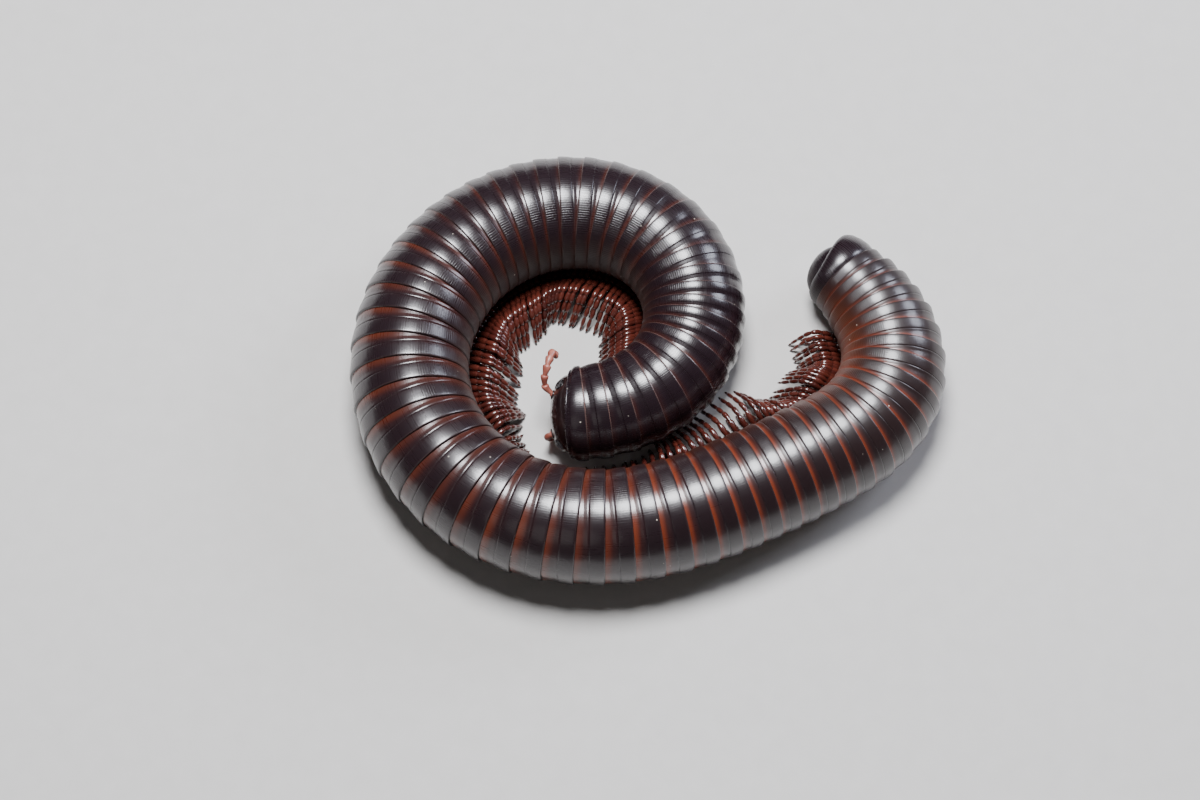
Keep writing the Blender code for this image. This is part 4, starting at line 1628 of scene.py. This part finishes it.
@dataclass
class Tail:
    """The last ring with its blunt point, and the two valves that close the body.

    Each row has its place behind the last ring, its share of the radius and the reach of the point.
    """

    spine: Spine
    trunk: Trunk
    sides: int = 96
    gap: float = 0.3
    rows: tuple[Place, ...] = (
        (-0.4, 0.90, 0.0), (0.0, 0.945, 0.0), (0.3, 0.955, 0.0), (0.9, 0.965, 0.0), (1.6, 0.945, 0.5),
        (2.3, 0.89, 1.0), (2.55, 0.83, 1.3), (2.6, 0.775, 1.3), (2.5, 0.73, 0.9), (2.2, 0.69, 0.0),
    )
    standing_share: float = 0.97
    valve_length: float = 2.4
    valve_share: float = 0.72
    valve_sunk: float = 0.3
    valve_steps: tuple[int, int] = (64, 40)
    phase: float = 0.55

    def build(self, finish: Material) -> None:
        """Makes the last ring and the valves.

        Args:
            finish: Material of the shell.
        """
        start = self.spine.edges[-1]
        radius = float(stop_value(self.spine.radius, start))
        standing = radius * self.standing_share
        back = math.radians(float(stop_value(self.spine.roll, start))) + math.pi
        angles = [(j + 0.5) * math.tau / self.sides for j in range(self.sides)]
        rows = []
        for place, share, point in self.rows:
            row = []
            for angle in angles:
                s = start + self.gap + place + point * max(0.0, math.cos(angle - back)) ** 2
                row.append(self.spine.on_section(s, angle, radius * share, standing))
            rows.append(row)
        obj = loft("tail_cap", rows, finish)
        self.mark(obj, start)
        dress(obj, Slot.SHELL, "tail_ring")
        base = start + self.gap + self.rows[-1][0]
        middle = self.spine.on_section(base, 0.0, 0.0, standing)
        along = Vector(self.spine.axis(base)[1][0])
        sideways = self.spine.on_section(base, back + math.pi / 2, 1.0, standing) - middle
        turn = Matrix((sideways, sideways.cross(along), along)).transposed().to_4x4()
        tall = radius * self.valve_share
        size = (tall / 2, tall, self.valve_length + self.valve_sunk)
        around, through = self.valve_steps
        for name, side in (("anal_valve_right", 1), ("anal_valve_left", -1)):
            bm = bmesh.new()
            bmesh.ops.create_uvsphere(bm, u_segments=around, v_segments=through, radius=1.0)
            centre = middle + sideways * side * size[0]
            whole = Matrix.Scale(MM, 4) @ Matrix.Translation(centre) @ turn @ Matrix.Diagonal((*size, 1.0))
            bmesh.ops.transform(bm, matrix=whole, verts=bm.verts)
            valve = from_bmesh(f"valve_{name[11:]}", bm, finish)
            self.mark(valve, start)
            dress(valve, Slot.SHELL, name)

    def mark(self, obj: Object, start: float) -> None:
        """Adds the attributes that the shell's finish reads.

        Args:
            obj: The piece.
            start: Place of the last ring's rear edge.
        """
        count = len(obj.data.vertices)
        set_attribute(obj, "phase", np.full(count, self.phase))
        set_attribute(obj, "place", np.full(count, start))
        self.trunk.add_bearings(obj, banded=False)


@dataclass
class Studio:
    """Floor, light and the camera at the photograph's angle.

    The floor, the lights and the camera's nearest depth are given in metres, the point that the
    camera looks at in millimetres and its scale in pixels a millimetre.
    """

    spine: Spine
    lens: float = 100.0
    sensor: float = 36.0
    frame_width: int = 1200
    scale: float = 6.75
    elevation_deg: float = 66.0
    look_beyond_head: Place = (5.47, 1.43, 9.0)
    aim: Place = (-0.008, 0.0, 0.009)
    floor_half: float = 3.0
    floor_drop: float = 0.00003
    paper: tuple[Colour, Colour] = ((0.60, 0.585, 0.56), (0.66, 0.645, 0.62))
    paper_grain: float = 300.0
    paper_roughness: float = 0.85
    room: Colour = (0.95, 0.95, 1.0)
    room_strength: float = 0.06
    clip_start: float = 0.01

    def build(self) -> None:
        """Makes the floor, the lights and the camera."""
        self.add_floor()
        self.add_lights()
        self.add_camera()

    def add_floor(self) -> None:
        """Makes the plain pale floor."""
        bm = bmesh.new()
        bmesh.ops.create_grid(bm, x_segments=1, y_segments=1, size=self.floor_half)
        bmesh.ops.translate(bm, vec=(0.0, 0.0, -self.floor_drop), verts=bm.verts)
        mesh = bpy.data.meshes.new("floor")
        bm.to_mesh(mesh)
        bm.free()
        material, tree, shader = new_material("floor_paper")
        grain = noise(tree, self.paper_grain, detail=3.0)
        tree.links.new(mix(tree, grain, *self.paper), shader.inputs["Base Color"])
        shader.inputs["Roughness"].default_value = self.paper_roughness
        mesh.materials.append(material)
        floor = add_object("floor", mesh)

    def area(self, name: str, place: Place, size: float, power: float, colour: Colour) -> None:
        """Adds a soft round light that faces the body.

        Args:
            name: Name of the light.
            place: Its place, in metres.
            size: Its diameter, in metres.
            power: Its power, in watts.
            colour: Its colour.
        """
        light = bpy.data.lights.new(name, "AREA")
        light.shape = "DISK"
        light.size = size
        light.energy = power
        light.color = colour
        lamp = add_object(name, light)
        lamp.location = place
        lamp.rotation_euler = (Vector(self.aim) - lamp.location).to_track_quat("-Z", "Y").to_euler()

    def add_lights(self) -> None:
        """Adds the soft box, the two weaker lights and the room's own light."""
        self.area("soft_box", place=(-0.02, 0.12, 0.50), size=0.20, power=5.6, colour=(0.95, 0.96, 1.0))
        self.area("window", place=(0.50, 0.30, 0.34), size=0.28, power=2.6, colour=(0.80, 0.85, 1.0))
        self.area("fill", place=(-0.25, -0.5, 0.5), size=0.4, power=0.2, colour=(1.0, 0.97, 0.93))
        world = bpy.data.worlds.new("room")
        world.use_nodes = True
        background = world.node_tree.nodes["Background"]
        background.inputs["Color"].default_value = (*self.room, 1.0)
        background.inputs["Strength"].default_value = self.room_strength
        bpy.context.scene.world = world

    def add_camera(self) -> None:
        """Adds the camera."""
        distance = self.lens / self.sensor * self.frame_width / self.scale * MM
        x, y, z = self.look_beyond_head
        look = Vector((self.spine.head_x + x, self.spine.head_y + y, z)) * MM
        height = math.radians(self.elevation_deg)
        away = Vector((0.0, -math.cos(height), math.sin(height)))
        data = bpy.data.cameras.new("camera")
        data.lens = self.lens
        data.sensor_width = self.sensor
        data.clip_start = self.clip_start
        camera = add_object("camera", data)
        camera.location = look + away * distance
        camera.rotation_euler = (-away).to_track_quat("-Z", "Y").to_euler()
        bpy.context.scene.camera = camera


def main() -> None:
    """Builds every piece in order."""
    logging.basicConfig(level=logging.INFO, format="%(message)s")
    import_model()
    groups = Groups()
    shell = ShellFinish().material(groups)
    legs = LegFinish().material(groups)
    horn = HornFinish(name="head_horn", deep=(0.010, 0.005, 0.006), bright=(0.026, 0.011, 0.010))
    mouth = HornFinish(
        name="mouth_horn", deep=(0.009, 0.004, 0.004), bright=(0.022, 0.008, 0.007), gloss=(0.25, 0.37)
    )
    eye = HornFinish(
        name="eye_glass", deep=(0.004, 0.003, 0.004), bright=(0.008, 0.006, 0.008), gloss=(0.05, 0.17),
        coat=0.9, bump=0.0,
    )
    antenna = HornFinish(
        name="antenna_skin", deep=(0.26, 0.070, 0.048), bright=(0.42, 0.145, 0.105), gloss=(0.33, 0.45),
        clouds=900.0, coat=0.15, speckle=0.0,
    )
    horn, mouth, eye, antenna = (finish.material(groups) for finish in (horn, mouth, eye, antenna))
    spine = Spine()
    trunk = Trunk(spine)
    trunk.build(shell)
    Collar(spine, trunk).build(shell)
    Legs(spine).build(legs)
    head = Head(spine)
    head.build(horn, mouth)
    head.build_eyes(eye)
    head.build_sockets(horn)
    head.build_antennae(antenna)
    Tail(spine, trunk).build(shell)
    Studio(spine).build()


if __name__ == "__main__":
    main()
